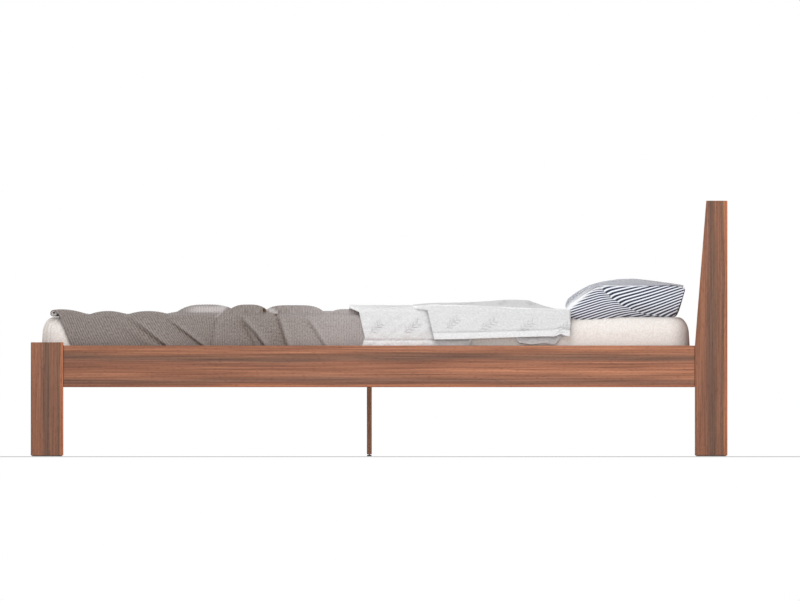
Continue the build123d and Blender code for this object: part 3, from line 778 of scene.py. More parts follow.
def side_relief(x, z):
    """How far the side stands out. The cloth lies like shingles: from each line it rises within the
    undercut to that tuck's full height, and falls as 1 - (1 - left) t^1.4 to what is left of it at the next
    line. Before the first line lies one soft bulge."""
    places, grown = tuck_lines(z)
    level = BULGE_OUT * mound(x - places[0] + BULGE_AT, BULGE_WIDE) * grown[0]
    places = places + [np.full_like(x, THROW_HEAD + PANEL_BEYOND)]
    left_over = level
    for number, (*_, height, left, _, _) in enumerate(TUCKS):
        beyond = x - places[number]
        share = np.clip(beyond / (places[number + 1] - places[number]), 0.0, 1.0)
        panel = height * grown[number] * (1.0 - (1.0 - left) * share**TUCK_FALLS)
        level = np.where(beyond > 0.0, left_over + (panel - left_over) * ease(beyond / UNDERCUT), level)
        left_over = height * left * grown[number]
    return level


def painted_fold_shading(x, z):
    """Painted shade and highlight beside the tucks: shade on each line, in a narrow mound, and as the cloth
    dips towards it, exp(d / reach), and a highlight on the round of the fold beyond it."""
    places, grown = tuck_lines(z)
    tone = np.zeros_like(x)
    for place, share, (*_, dark) in zip(places, grown, TUCKS):
        beyond = x - place
        dip = DIP_SHADE[0] * np.exp(np.minimum(beyond, 0.0) / DIP_SHADE[1]) * (beyond < 0.0)
        crest = CREST_HIGHLIGHT[0] * mound(beyond - CREST_HIGHLIGHT[1], CREST_HIGHLIGHT[2])
        tone = tone + dark * share * (crest - mound(beyond, SHADE_LINE_WIDE) - dip)
    return tone


print(len(TOP_FOLDS), "folds on top and", len(TUCKS), "tucks")

# %% [markdown]
# ## Painted light and shade on the throw
# Some places of the throw are painted paler, as highlights: inside the rolled foot edge, on the near face of
# the widest fold, and on the end of one fold that leans over. Beside them small creases, too sharp for the
# points of the mesh, get painted shade. Both could be painted by hand on a picture; worked out per point,
# they go into a second UV layer, painted highlight along U and painted shade along V, and the finish mixes
# its yarns by it.

# %% Throw tones
# Steps are (start or end, run). Painted highlight and painted shade are shares of the mix between the two
# yarns.
NEAR_EDGE = (0.06, 0.03)
# Painted highlights on the near face of the widest fold, along the gore's rim and inside the roll.
FACE_HIGHLIGHT = 1.35
FACE_HIGHLIGHT_ABOVE = (0.4370, 0.010)
FACE_HIGHLIGHT_INSET = (0.022, 0.030)
FACE_HIGHLIGHT_FROM = (-0.620, 0.07)
GORE_EDGE = 0.005
RIM_PALE = 0.8
RIM_BEFORE = 0.003
RIM_WIDE = 0.004
RIM_ABOVE = (0.424, 0.006)
# The painted highlight on the end of the fold that leans over: a strip between these places (x, z).
LEANING_PALE = 1.3
LEANING_FROM = (-0.350, 0.456)
LEANING_TO = (-0.312, 0.440)
LEANING_HALF = (0.00722, 0.0038)
LEANING_ENDS = (0.55, 0.10)
LEANING_INSET = (0.04, 0.01)
CURL_PALE = 1.6
CURL_INSIDE = (3.3, 0.9)
# Painted shade in creases: the mattress's edge between these places, notches as (x, z, width, height), and
# wrinkles by height.
EDGE_SHADE = 0.30
EDGE_HEIGHT = 0.4355
EDGE_WIDE = 0.0025
EDGE_SPAN = ((-0.43, 0.02), (-0.345, 0.01))
EDGE_AGAIN = (-0.25, 0.02)
NOTCH_SHADE = 2.2
NOTCHES = ((-0.352, 0.449, 0.006, 0.008), (-0.316, 0.436, 0.005, 0.004))
WRINKLE_SHADE = 0.4
WRINKLES = (0.376, 0.362, 0.350)
WRINKLE_SLOPE = 0.2
WRINKLE_WIDE = 0.0028
WRINKLE_LONG = (0.055, 0.03)


def painted_highlights(x, z, from_edge, curl_angle, right):
    """How much painted highlight there is: inside the roll, on the near face of the widest fold as far as the
    gore's edge, along whose rim lies a narrow highlight, and in a strip on the end of the fold that leans
    over.
    All but the first lie on the right side only."""
    gore = np.interp(z, *GORE)
    near = falling(from_edge, *NEAR_EDGE) * right
    on_face = FACE_HIGHLIGHT * rising(z, *FACE_HIGHLIGHT_ABOVE) * (1.0 - rising(from_edge, *FACE_HIGHLIGHT_INSET))
    wide = rising(x, *FACE_HIGHLIGHT_FROM) * falling(x, gore, GORE_EDGE) * on_face * right
    rim = RIM_PALE * mound(x - gore + RIM_BEFORE, RIM_WIDE) * rising(z, *RIM_ABOVE) * near
    share = (x - LEANING_FROM[0]) / (LEANING_TO[0] - LEANING_FROM[0])
    strip = LEANING_FROM[1] + (LEANING_TO[1] - LEANING_FROM[1]) * share
    leaning = falling(np.abs(z - strip), *LEANING_HALF) * falling(np.abs(share - 0.5), *LEANING_ENDS)
    leaning = LEANING_PALE * leaning * near * falling(from_edge, *LEANING_INSET)
    curled = CURL_PALE * rising(curl_angle, *CURL_INSIDE) + 0.0 * x
    return np.maximum.reduce([wide, rim, leaning, curled])


def creases(x, z, from_edge, right):
    """Painted shade in small creases: along the edge of the mattress, in the two notches beside the fold that
    leans over, and along wrinkles that run up to the tuck beyond it."""
    along_edge = rising(x, *EDGE_SPAN[0]) * falling(x, *EDGE_SPAN[1]) + rising(x, *EDGE_AGAIN)
    tone = -EDGE_SHADE * mound(z - EDGE_HEIGHT, EDGE_WIDE) * along_edge
    near = falling(from_edge, *NEAR_EDGE) * right
    for notch_x, notch_z, wide, high in NOTCHES:
        tone = tone - NOTCH_SHADE * near * mound(x - notch_x, wide) * mound(z - notch_z, high)
    before = np.interp(z, *LAST_BUT_ONE) - x
    for height in WRINKLES:
        line = mound(z - height - WRINKLE_SLOPE * before, WRINKLE_WIDE)
        tone = tone - WRINKLE_SHADE * line * (before > 0.0) * falling(before, *WRINKLE_LONG)
    return tone


print(len(NOTCHES), "notches and", len(WRINKLES), "wrinkles")

# %% [markdown]
# ## The throw's surface
# One direction of the grid runs along the bed and crosses the ribs, three columns of points to a rib, so that
# the ribs are real ridges; the other goes over the mattress from hem to hem. At the foot the cloth is rolled
# up on itself, which in section is a spiral. A solid tube would be quicker, but a spiral keeps the throw one
# sheet with an edge. The roll ends at the sides, where the cloth hangs flat.

# %% Throw surface
THROW_ROWS = (33, 8, 34, 12)
# The rolled foot edge: its middle, half width and half height, its points, how much tighter each turn is, the
# angle at which the cloth's edge lies, and the run over which the throw sinks from it to the mattress.
CURL_MIDDLE = -0.9985
CURL_WIDE = 0.0125
CURL_HIGH = 0.0100
CURL_STEPS = 56
CURL_TIGHTENS = 0.0034
CURL_FROM = np.radians(790.0)
CURL_LIFT_RUN = 0.040
# How the ribs lean on the side: tangents of the lean at places along the bed, steepest beside the tucks.
LEAN_X = (-1.00, -0.80, -0.70, -0.61, -0.53, -0.45)
LEAN = (0.47, 0.58, 0.74, 0.52, 0.08, 0.00)
# The foot edge: how far it shifts on the sides and bows on top, and how fast both die out along the bed.
SIDE_SHIFT = 0.007
SIDE_SHIFT_RUN = 0.12
FOOT_BOW = 0.020
FOOT_BOW_RUN = 0.20
# Across the bed, as shares of its width: the folds wander in waves, and are dragged to the head, and sink.
WANDER_BY = 0.05
WANDER_WAVES = (2.6 * np.pi, 4.0)
WANDER_FROM = (0.10, 0.35)
DRAG = 0.10
DRAG_FROM = (0.25, 0.75)
DRAG_ALONG = (-0.80, 0.20)
SINK_FROM = (0.10, 0.25)
# Under the quilt the sides are tucked in, and the folds end.
TUCKED_IN = 0.0025
TUCKED_FROM = (-0.110, 0.045)
COVERED_FROM = (-0.068, 0.045)
DEEPEST = -0.003
# Towards the head the ribs are pulled to half their height.
RIBS_FLATTEN = (-0.60, 0.20)
RIBS_LOSE = 0.5
RIBS_BEGIN = 0.010


def throw_surface():
    """The arch with leaning ribs, its top folds and side tucks, and its foot edge rolled in a spiral, whose
    radii shrink evenly with the angle. On top the folds sink towards the middle of the bed and wander
    there."""
    across = arch_rows(*THROW_ROWS)
    straight = np.arange(CURL_MIDDLE, THROW_HEAD, RIB / POINTS_PER_RIB)
    curl = np.linspace(CURL_FROM, np.pi / 2, CURL_STEPS)[:-1]
    angle = np.concatenate([curl, np.full(len(straight), np.pi / 2)])[None, :]
    curled = (np.pi / 2 - curl) * (CURL_WIDE + CURL_HIGH - CURL_TIGHTENS) / 2
    lying = np.concatenate([np.full(len(curl), CURL_MIDDLE), straight])[None, :]
    cloth = np.concatenate([CURL_MIDDLE + curled, straight])[None, :]
    tucked = rising(lying, *TUCKED_FROM)
    y, z, turn, drop, reach = arch(across, THROW_SIDE - TUCKED_IN * tucked, THROW_TOP, THROW_HEM, THROW_BEND)
    on_top = np.cos(turn)
    below = (THROW_TOP - z) * np.sin(turn)
    shift = SIDE_SHIFT * np.exp((CURL_MIDDLE - lying) / SIDE_SHIFT_RUN)
    hanging = lying + shift + np.interp(lying, LEAN_X, LEAN) * below
    bow = FOOT_BOW * np.sin(np.pi * np.clip(across, -1.0, 1.0) / 2 + np.pi / 2)
    bowed = lying + bow * np.exp((CURL_MIDDLE - lying) / FOOT_BOW_RUN)
    x = on_top * bowed + (1.0 - on_top) * hanging

    across_bed = (y + THROW_SIDE) / (2 * THROW_SIDE)
    waves = np.sin(WANDER_WAVES[0] * across_bed + WANDER_WAVES[1] * lying)
    wander = WANDER_BY * waves * rising(across_bed, *WANDER_FROM)
    folded_x = x + (wander - DRAG * rising(across_bed, *DRAG_FROM) * rising(lying, *DRAG_ALONG))
    from_edge = THROW_SIDE - THROW_BEND - np.abs(y)
    rise = top_rise(folded_x, from_edge, rising(across_bed, *SINK_FROM))
    over_roll = mattress_high[2] + 2 * CURL_HIGH - THROW_TOP
    rise = np.maximum(rise, over_roll * mound(lying - CURL_MIDDLE, CURL_LIFT_RUN))
    rise = rise * (1.0 - drop) ** 2 * (1.0 - rising(lying, *COVERED_FROM))
    out = np.maximum(side_relief(folded_x, z), DEEPEST) * np.sin(turn) * (1.0 - tucked)
    tighter = CURL_TIGHTENS * (angle - np.pi / 2) / (2 * np.pi)
    roll_x = (CURL_WIDE - tighter) * np.cos(angle) * on_top
    roll_z = ((CURL_HIGH - tighter) * np.sin(angle) - CURL_HIGH) * on_top
    points = np.stack([x + roll_x, y + np.sign(across) * out, z + rise + roll_z], axis=-1)
    ribs = RIB_HEIGHT * (1.0 - RIBS_LOSE * rising(cloth, *RIBS_FLATTEN)) * np.cos(2 * np.pi * cloth / RIB)
    ribs = ribs * rising(cloth, CURL_MIDDLE, RIBS_BEGIN)
    points = points + outward(points) * ribs[..., None]

    shown_z = points[..., 2]
    right = y < 0.0
    # Painted highlights and painted shade, worked out per point for the second UV layer.
    painted_light = painted_highlights(folded_x, shown_z, from_edge, angle, right)
    tone = painted_fold_shading(folded_x, shown_z) * np.sin(turn) + creases(folded_x, shown_z, from_edge, right)
    layers = {
        "cloth": np.stack([cloth + 0.0 * y, reach + 0.0 * cloth], axis=-1),
        "painted_light": np.stack([painted_light, tone], axis=-1),
    }
    beside = turn > 0.0
    row_beside = beside[:-1] | beside[1:]
    keep = ~(row_beside & (np.arange(cloth.size - 1)[None, :] < len(curl)))
    return points, layers, keep


throw_points, throw_layers, throw_cells = throw_surface()
throw = grid_object("throw_cloth", throw_points, throw_layers, keep=throw_cells)
thicken(throw, THROW_THICK, -1.0)
print("throw is", np.ptp(throw_layers["cloth"], axis=(0, 1)), "m of cloth")

# %% [markdown]
# ## Ribbed knit
# The yarn is a wool mix, taupe and heathered. The eye gets a dull cloth. Its rib crests are painted paler and
# its furrows darker, as painted highlight and shade, and towards the quilt it is painted paler, as light. A
# picture of knitting would repeat; here a cosine follows the modelled ribs, noise is the yarn, and two ramps,
# deep and a lit copy, are mixed by the painted light and shade.

# %% Throw finish
# Ribbed wool-mix knit, taupe: dull, with soft vertical lines. Loops are drawn at 4 mm, so that they show.
KNIT_LOOP = 0.004
YARN_SCALE = (1 / 0.0035, 1 / 0.006, 1.0)
PAINTED_PALE_SHARE = 1.5
LOOP_SHARE = 0.25
HEATHER = {"To Min": -0.20, "To Max": 1.40}
# Along the bed the ribs' painted shading falls between two places, and painted light grows between two
# others.
RIB_CONTRAST = {"From Min": -0.60, "From Max": -0.40, "To Min": 0.20, "To Max": 0.09}
PALER_TO_HEAD = {"From Min": -0.38, "From Max": -0.10}
# The second ramp is a lit copy of the yarn, mixed in for painted light.
DEEP_YARN = ((0.25, "#726964"), (0.60, "#8D837E"), (0.95, "#9E9591"))
LIT_YARN = ((0.25, "#958C88"), (0.60, "#AAA2A0"), (0.95, "#B7B0AE"))

throw_knit, tree = new_tree("ribbed taupe knit")
cloth_map = add_node(tree, "UVMap", uv_map="cloth")
along_cloth, across_cloth, _ = add_node(tree, "SeparateXYZ", {0: cloth_map}).outputs
rib_phase = add_node(tree, "Math", {0: along_cloth, 1: 2 * np.pi / RIB}, operation="MULTIPLY")
rib_wave = add_node(tree, "Math", {0: rib_phase}, operation="COSINE")
yarn_map = add_node(tree, "Mapping", {"Vector": cloth_map, "Scale": YARN_SCALE})
yarn = add_node(tree, "TexNoise", {"Vector": yarn_map, "Scale": 1.0, "Detail": 2.0})
# Rib crests painted paler and furrows darker, as painted highlight and shade, weaker towards the head.
rib_depth = add_node(tree, "MapRange", {"Value": along_cloth, **RIB_CONTRAST})
heather = add_node(tree, "MapRange", {"Value": yarn, **HEATHER})
crest_yarn = add_node(tree, "Math", {0: rib_wave, 1: rib_depth, 2: heather}, operation="MULTIPLY_ADD")
deep = add_node(tree, "ValToRGB", {"Fac": crest_yarn}, stops=DEEP_YARN)
pale = add_node(tree, "ValToRGB", {"Fac": crest_yarn}, stops=LIT_YARN)
# Painted light: the knit is painted paler towards the head.
painted_light_to_head = add_node(
    tree,
    "MapRange",
    {"Value": along_cloth, **PALER_TO_HEAD},
    interpolation_type="SMOOTHSTEP",
)
# The second UV layer holds painted highlight along U and painted shade along V.
painted_pale, shaded, _ = add_node(
    tree, "SeparateXYZ", {0: add_node(tree, "UVMap", uv_map="painted_light")}
).outputs
painted_shading = add_node(tree, "Math", {0: shaded, 1: painted_light_to_head}, operation="ADD")
paling = add_node(
    tree, "Math", {0: painted_pale, 1: PAINTED_PALE_SHARE, 2: painted_shading}, operation="MULTIPLY_ADD"
)
knit_colour = add_node(
    tree,
    "Mix",
    {MIX_FACTOR: paling, MIX_A: deep, MIX_B: pale},
    data_type="RGBA",
    clamp_factor=False,
)
loops = add_node(tree, "Math", {0: across_cloth, 1: 2 * np.pi / KNIT_LOOP}, operation="MULTIPLY")
loop_wave = add_node(tree, "Math", {0: loops}, operation="SINE")
loop_height = add_node(tree, "Math", {0: loop_wave, 1: LOOP_SHARE, 2: yarn}, operation="MULTIPLY_ADD")
relief = add_node(tree, "Bump", {"Height": loop_height, "Strength": 0.5, "Distance": 0.0008})
finish_tree(
    tree,
    {
        "Base Color": knit_colour,
        "Roughness": 0.95,
        "Sheen Weight": 0.2,
        "Sheen Roughness": 0.6,
        "Specular IOR Level": 0.2,
        "Normal": relief,
    },
)
throw.data.materials.append(throw_knit)
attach(throw, "throw")
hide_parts("throw")
print(throw_knit.name, "takes", len(tree.nodes), "nodes")

# %% [markdown]
# ## Quilt
# The quilt is one white sheet that runs up the bed to the pillows and is turned back on itself there, so
# its head end lies on top as a flap with a stitched hem. The surface follows that: one direction runs up
# the bed, round the fold and back, the other over the mattress from hem to hem. The under layer's hem is
# uneven, rucked up in one place, and the flap hangs a little shorter. Two simulated sheets could be laid on
# each other, but then the fold between them would not be one cloth.

# %% Quilt heights
# Steps along the bed are (start or end, run).
QUILT_FOOT = -0.064
FLAP_FOOT = 0.143
# Both layers sink towards the head.
FALL = (0.10, 0.50)
# The under layer's hem: rucked up between two places, wavy beyond them, and higher at the head.
UNDER_HEM = 0.336
RUCK_HIGH = 0.040
RUCK_FROM = (0.272, 0.025)
RUCK_TO = (0.405, 0.03)
BEYOND_RUCK = 0.009
HEM_WAVE = 0.002
HEM_WAVES = 90.0
HEAD_RISE = 0.022
HEAD_FROM = (0.535, 0.03)
# The flap's hem rises slowly, and lifts in a lip near the fold.
FLAP_HEM = 0.3585
FLAP_HEM_RISE = 0.010
FLAP_HEM_FROM = (0.14, 0.45)
LIP_HIGH = 0.007
LIP_X = 0.558
LIP_WIDE = 0.012
# The tops of both, as height and fall, and how far the flap dips at its free edge.
UNDER_TOP = (0.4530, 0.0135)
FLAP_TOP = (0.4630, 0.0165)
FLAP_DIP = 0.004
FLAP_DIP_WIDE = 0.05
# How far both swell inside the edge. The flap's swelling ends before the fold.
UNDER_CROWN = 0.007
FLAP_CROWN = 0.0075
FLAP_CROWN_RISE = 0.021
FLAP_CROWN_FROM = (0.20, 0.28)
FLAP_CROWN_TO = (0.602, 0.075)


def quilt_heights(bed_x, flap):
    """Heights along the bed of the hem, of the top's edge, and of the swelling inside it: the under layer's,
    times 1 - flap, and the flap's, times flap."""
    fall = rising(bed_x, *FALL)
    beyond = rising(bed_x, *RUCK_TO)
    under_hem = UNDER_HEM + RUCK_HIGH * rising(bed_x, *RUCK_FROM) * (1.0 - beyond)
    under_hem = under_hem + (BEYOND_RUCK + HEM_WAVE * np.sin(HEM_WAVES * bed_x)) * beyond
    under_hem = under_hem + HEAD_RISE * rising(bed_x, *HEAD_FROM)
    flap_hem = FLAP_HEM + FLAP_HEM_RISE * rising(bed_x, *FLAP_HEM_FROM)
    flap_hem = flap_hem + LIP_HIGH * mound(bed_x - LIP_X, LIP_WIDE)
    under_top = UNDER_TOP[0] - UNDER_TOP[1] * fall
    flap_top = FLAP_TOP[0] - FLAP_TOP[1] * fall - FLAP_DIP * mound(bed_x - FLAP_FOOT, FLAP_DIP_WIDE)
    under_crown = UNDER_CROWN * (1.0 - fall)
    flap_crown = FLAP_CROWN + FLAP_CROWN_RISE * rising(bed_x, *FLAP_CROWN_FROM)
    flap_crown = flap_crown * falling(bed_x, *FLAP_CROWN_TO)
    layers = ((under_hem, flap_hem), (under_top, flap_top), (under_crown, flap_crown))
    return [below * (1.0 - flap) + above * flap for below, above in layers]


print("the under layer falls by", UNDER_TOP[1], "m towards the head and the flap by", FLAP_TOP[1])

# %% [markdown]
# ## The quilt's surface
# Both layers share one arch. The fold is a half turn of small radius, and the flap stands a little off the
# layer below, so that it throws a thin shadow. On top the free edges lie nearer the foot than they do on the
# sides, and the fold is pulled back to clear the pillows. Puckers are waves along the surface's own normals.
# Which places are painted darker or paler is kept in a second UV layer: painted shade, such as on the
# stitched hem, and painted highlights.

# %% Quilt surface
QUILT_ROWS = (38, 8, 26, 26)
QUILT_THICK = 0.005
QUILT_SIDE = 0.6052
QUILT_BEND = 0.010
QUILT_STEP = 0.0045
FOLD_SIDE = 0.5830
FOLD_RADIUS = 0.0030
FOLD_STEPS = 11
# Free edges and fold on top: how far they lie from those on the sides, and over which run that dies out.
TOP_FOOT_LEAD = 0.028
FOOT_RUN = 0.16
TOP_FLAP_LEAD = 0.042
FLAP_RUN = 0.20
FOLD_BACK = 0.080
FOLD_BACK_FROM = 0.30
INSIDE_RUN = 0.10
# How the free edges lean on the side, and from which depth the under layer's swings back.
EDGE_LEAN = 0.23
SWING_BACK = 0.55
SWING_DEPTH = 0.088
# How far the flap stands off the layer below it: all over, more at its hem, and more at its free edge.
STAND_FLAT = 0.002
STAND_HEM = 0.007
STAND_EDGE = 0.0025
STAND_REACH = 0.03
STAND_POWER = 1.5
# A ridge along the edge of the top, with a hollow inside it, as places and widths.
EDGE_RIDGE = 0.0030
RIDGE_AT = (0.003, 0.007)
HOLLOW_SHARE = 0.6
HOLLOW_AT = (0.026, 0.014)
FOOT_LIFT = (0.0025, 0.02)
FLAP_SETTLES = (0.0025, 0.035)
# The stitched hem, and puckers as height, size and seed.
HEM_BAND = 0.020
STITCH = 0.0022
STITCH_DEPTH = 0.0028
PUCKER = (0.0013, 0.035, 11)
FLAP_SMOOTHER = 0.45
CRINKLE = (0.0007, 0.018, 23)
BILLOW = (0.0018, 0.16, 5)
# Painted shade, painted highlights and the flap's darker tone: how much darker or paler, and then the reach,
# the place and width, or the step that limits it.
CREVICE_SHADE = (0.25, 0.004)
STITCH_SHADE = 0.15
FOLD_EDGE_HIGHLIGHT = (0.30, 0.001, 0.004)
HEM_BAND_HIGHLIGHT = (0.10, 0.004)
FLAP_DARK = 0.03
TOP_SHADE = (0.10, 0.010, 0.03)
FREE_EDGE_HIGHLIGHT = 0.34
FREE_EDGE_REACH = (0.015, 0.012)


def quilt_surface():
    """Up the bed, round a fold of small radius, and back: the fold turns by psi from 0 to pi, which lifts the
    cloth by r (1 - cos psi) off the under layer, along the arch's outward direction."""
    across = arch_rows(*QUILT_ROWS)
    up = np.arange(QUILT_FOOT, FOLD_SIDE, QUILT_STEP)
    round_fold = np.linspace(0.0, np.pi, FOLD_STEPS)[1:-1]
    back = np.arange(FOLD_SIDE, FLAP_FOOT, -QUILT_STEP)
    bed_x = np.concatenate([up, np.full(len(round_fold), FOLD_SIDE), back])[None, :]
    psi = np.concatenate([0 * up, round_fold, np.full(len(back), np.pi)])[None, :]
    flap = (1.0 - np.cos(psi)) / 2
    under = 1.0 - flap
    cloth = bed_x + FOLD_RADIUS * np.sin(psi)
    hem, top, crown = quilt_heights(bed_x, flap)
    side = QUILT_SIDE + 2 * FOLD_RADIUS * flap
    y, z, turn, drop, reach = arch(across, side, top, hem, QUILT_BEND)
    on_top = np.cos(turn)
    beside = np.sin(turn)
    from_edge = side - QUILT_BEND - np.abs(y)
    from_hem = np.where(drop > 0.0, (1.0 - drop) * (top - QUILT_BEND - hem), 1.0)
    from_foot = bed_x - QUILT_FOOT
    from_flap_foot = bed_x - FLAP_FOOT
    at_edge = STAND_EDGE * np.exp(-np.abs(from_flap_foot) / STAND_REACH)
    stand = STAND_FLAT + STAND_HEM * drop**STAND_POWER + at_edge
    y = y + np.sign(across) * flap * beside * stand

    near_fold = rising(bed_x, FOLD_BACK_FROM, FOLD_SIDE - FOLD_BACK_FROM)
    near_foot = (1.0 - ease(from_foot / FOOT_RUN)) * under
    near_flap_foot = (1.0 - ease(from_flap_foot / FLAP_RUN)) * flap
    inside = ease(from_edge / INSIDE_RUN)
    below = (top - z) * beside
    lead = TOP_FOOT_LEAD * near_foot + TOP_FLAP_LEAD * near_flap_foot
    swing = EDGE_LEAN * below - SWING_BACK * np.maximum(below - SWING_DEPTH, 0.0)
    x = cloth - on_top * (lead + FOLD_BACK * near_fold * inside)
    x = x + near_flap_foot * EDGE_LEAN * below + near_foot * swing

    ridge = EDGE_RIDGE * mound(from_edge - RIDGE_AT[0], RIDGE_AT[1])
    hollow = HOLLOW_SHARE * EDGE_RIDGE * mound(from_edge - HOLLOW_AT[0], HOLLOW_AT[1])
    foot_lift = FOOT_LIFT[0] * mound(from_foot, FOOT_LIFT[1]) * under
    settled = FLAP_SETTLES[0] * mound(from_flap_foot, FLAP_SETTLES[1]) * flap
    lift = (crown * inside + ridge - hollow + foot_lift - settled) * on_top
    points = np.stack([x, y, z + lift], axis=-1)

    stitched = mound(from_hem - HEM_BAND, STITCH)
    pucker = PUCKER[0] * ripple(bed_x, reach, *PUCKER[1:]) * (1.0 - FLAP_SMOOTHER * flap)
    pucker = pucker + CRINKLE[0] * ripple(bed_x, reach, *CRINKLE[1:]) * under
    billow = BILLOW[0] * ripple(bed_x, reach, *BILLOW[1:]) * (np.abs(across) > 1.0)
    outer_face = np.where(flap > 0.5, -1.0, 1.0)
    bulge = (pucker + billow - STITCH_DEPTH * stitched) * outer_face
    points = points + outward(points) * bulge[..., None]

    # Painted shade in the crevice beside the flap's edge, on the stitched line and on the flap's top face;
    # painted highlights along the fold's edge, on the hem band and along the free edges on top; the whole
    # flap a little darker.
    gap = np.maximum(FLAP_FOOT + EDGE_LEAN * below - x, 0.0)
    crevice_shade = CREVICE_SHADE[0] * np.exp(-gap / CREVICE_SHADE[1]) * under * beside
    # Painted highlight along the fold's edge.
    pressed = FOLD_EDGE_HIGHLIGHT[0] * mound(from_edge - FOLD_EDGE_HIGHLIGHT[1], FOLD_EDGE_HIGHLIGHT[2]) * flap
    band = HEM_BAND_HIGHLIGHT[0] * falling(from_hem, HEM_BAND, HEM_BAND_HIGHLIGHT[1])
    top_face_shade = TOP_SHADE[0] * flap * rising(from_edge, *TOP_SHADE[1:])
    foot_edge_highlight = np.exp(-from_foot / FREE_EDGE_REACH[0]) * under
    flap_edge_highlight = np.exp(-np.abs(from_flap_foot) / FREE_EDGE_REACH[1]) * flap
    paler = pressed + band + FREE_EDGE_HIGHLIGHT * (foot_edge_highlight + flap_edge_highlight) * on_top
    darker = crevice_shade + STITCH_SHADE * stitched + FLAP_DARK * flap + top_face_shade
    layers = {
        "cloth": np.stack([cloth + 0.0 * y, reach + 0.0 * cloth], axis=-1),
        "tone": np.stack([paler - darker, 0.0 * paler], axis=-1),
    }
    return points, layers


quilt_points, quilt_layers = quilt_surface()
quilt = grid_object("quilt_cloth", quilt_points, quilt_layers)
thicken(quilt, QUILT_THICK, 0.0)
print("quilt covers", np.ptp(quilt_layers["cloth"], axis=(0, 1)), "m, measured over the mattress")

# %% [markdown]
# ## Matelasse
# Matelasse is woven in two layers that draw each other into puckers, with a pattern that stands up white on
# white. The eye gets a soft, uneven surface and small sprigs that only their shading shows. A picture would
# do for the sprigs; here every one is a slanting stem with pairs of leaves, each stroke the length of a
# vector in stretched coordinates, and the coordinates wrap, so that the sprigs repeat in staggered rows.

# %% Quilt finish
# White matelasse cotton: matt, with puckers drawn 5 to 7 mm wide so that they show, and raised sprigs.
SPRIG_ROW = 0.118
SPRIG_DROP = 0.071
SPRIG_ALONG = 0.083
SPRIG_LENGTH = 0.056
STEM_TURN = np.radians(35.0)
STEM_BROAD = 0.0011
LEAF_PAIRS = 4
LEAF_PLACES = (-0.30, 0.42)
LEAF_TURN = 0.75
LEAF_LONG = 0.0088
LEAF_BROAD = 0.0024
PUCKER_SCALE = (1 / 0.007, 1 / 0.005, 1.0)
# A stroke's height rises between these lengths from its middle, in shares of its half length and breadth.
STROKE_RISES = {"From Min": 1.4, "From Max": 0.3}
SPRIG_SHARE = 1.5
PUCKER_SHARE = 0.55
COTTON = ((0.30, "#D9D9DA"), (0.70, "#EBEBEC"))


def sprig_strokes():
    """A sprig's strokes as (x, y, turn, half length, half breadth): the stem, and leaves that start on it."""
    strokes = [(0.0, 0.0, STEM_TURN, SPRIG_LENGTH / 2, STEM_BROAD)]
    for on_stem in np.linspace(*LEAF_PLACES, LEAF_PAIRS) * SPRIG_LENGTH:
        for turn in (STEM_TURN - LEAF_TURN, STEM_TURN + LEAF_TURN):
            leaf_x = on_stem * np.cos(STEM_TURN) + LEAF_LONG * np.cos(turn)
            leaf_y = on_stem * np.sin(STEM_TURN) + LEAF_LONG * np.sin(turn)
            strokes.append((leaf_x, leaf_y, turn, LEAF_LONG, LEAF_BROAD))
    return strokes


quilting, tree = new_tree("white matelasse cotton")
cloth_map = add_node(tree, "UVMap", uv_map="cloth")
raised = 0.0
for half_step in (0.0, 0.5):
    start = (half_step * SPRIG_ROW + SPRIG_ALONG, half_step * 2 * SPRIG_ROW + SPRIG_DROP, 0.0)
    shifted = add_node(tree, "VectorMath", {0: cloth_map, 1: start}, operation="ADD")
    repeat = {1: (SPRIG_ROW / 2, SPRIG_ROW, 1.0), 2: (-SPRIG_ROW / 2, -SPRIG_ROW, -1.0)}
    within = add_node(tree, "VectorMath", {0: shifted, **repeat}, operation="WRAP")
    for stroke_x, stroke_y, turn, length, breadth in sprig_strokes():
        laid = {
            "Location": (stroke_x, stroke_y, 0.0),
            "Rotation": (0.0, 0.0, turn),
            "Scale": (length, breadth, 1.0),
        }
        stroke = add_node(tree, "Mapping", {"Vector": within, **laid}, vector_type="TEXTURE")
        off_middle = add_node(tree, "VectorMath", {0: stroke}, operation="LENGTH")
        leaf = add_node(
            tree,
            "MapRange",
            {"Value": off_middle, **STROKE_RISES},
            interpolation_type="SMOOTHSTEP",
        )
        raised = add_node(tree, "Math", {0: raised, 1: leaf}, operation="MAXIMUM")
pucker_map = add_node(tree, "Mapping", {"Vector": cloth_map, "Scale": PUCKER_SCALE})
pucker = add_node(tree, "TexNoise", {"Vector": pucker_map, "Scale": 1.0, "Detail": 2.0})
pucker_height = add_node(tree, "Math", {0: pucker, 1: PUCKER_SHARE}, operation="MULTIPLY")
weave_height = add_node(tree, "Math", {0: raised, 1: SPRIG_SHARE, 2: pucker_height}, operation="MULTIPLY_ADD")
relief = add_node(tree, "Bump", {"Height": weave_height, "Strength": 0.75, "Distance": 0.0018})
cotton = add_node(tree, "ValToRGB", {"Fac": pucker}, stops=COTTON)
# The tone layer's painted shade and highlights scale the cotton's value.
tone_axes = add_node(tree, "SeparateXYZ", {0: add_node(tree, "UVMap", uv_map="tone")})
tone_value = add_node(tree, "Math", {0: tone_axes, 1: 1.0}, operation="ADD")
toned = add_node(tree, "HueSaturation", {"Value": tone_value, "Color": cotton})
finish_tree(
    tree,
    {
        "Base Color": toned,
        "Roughness": 0.9,
        "Sheen Weight": 0.1,
        "Specular IOR Level": 0.25,
        "Normal": relief,
    },
)
quilt.data.materials.append(quilting)
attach(quilt, "quilt")
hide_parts("quilt")
print(quilting.name, "takes", len(tree.nodes), "nodes")

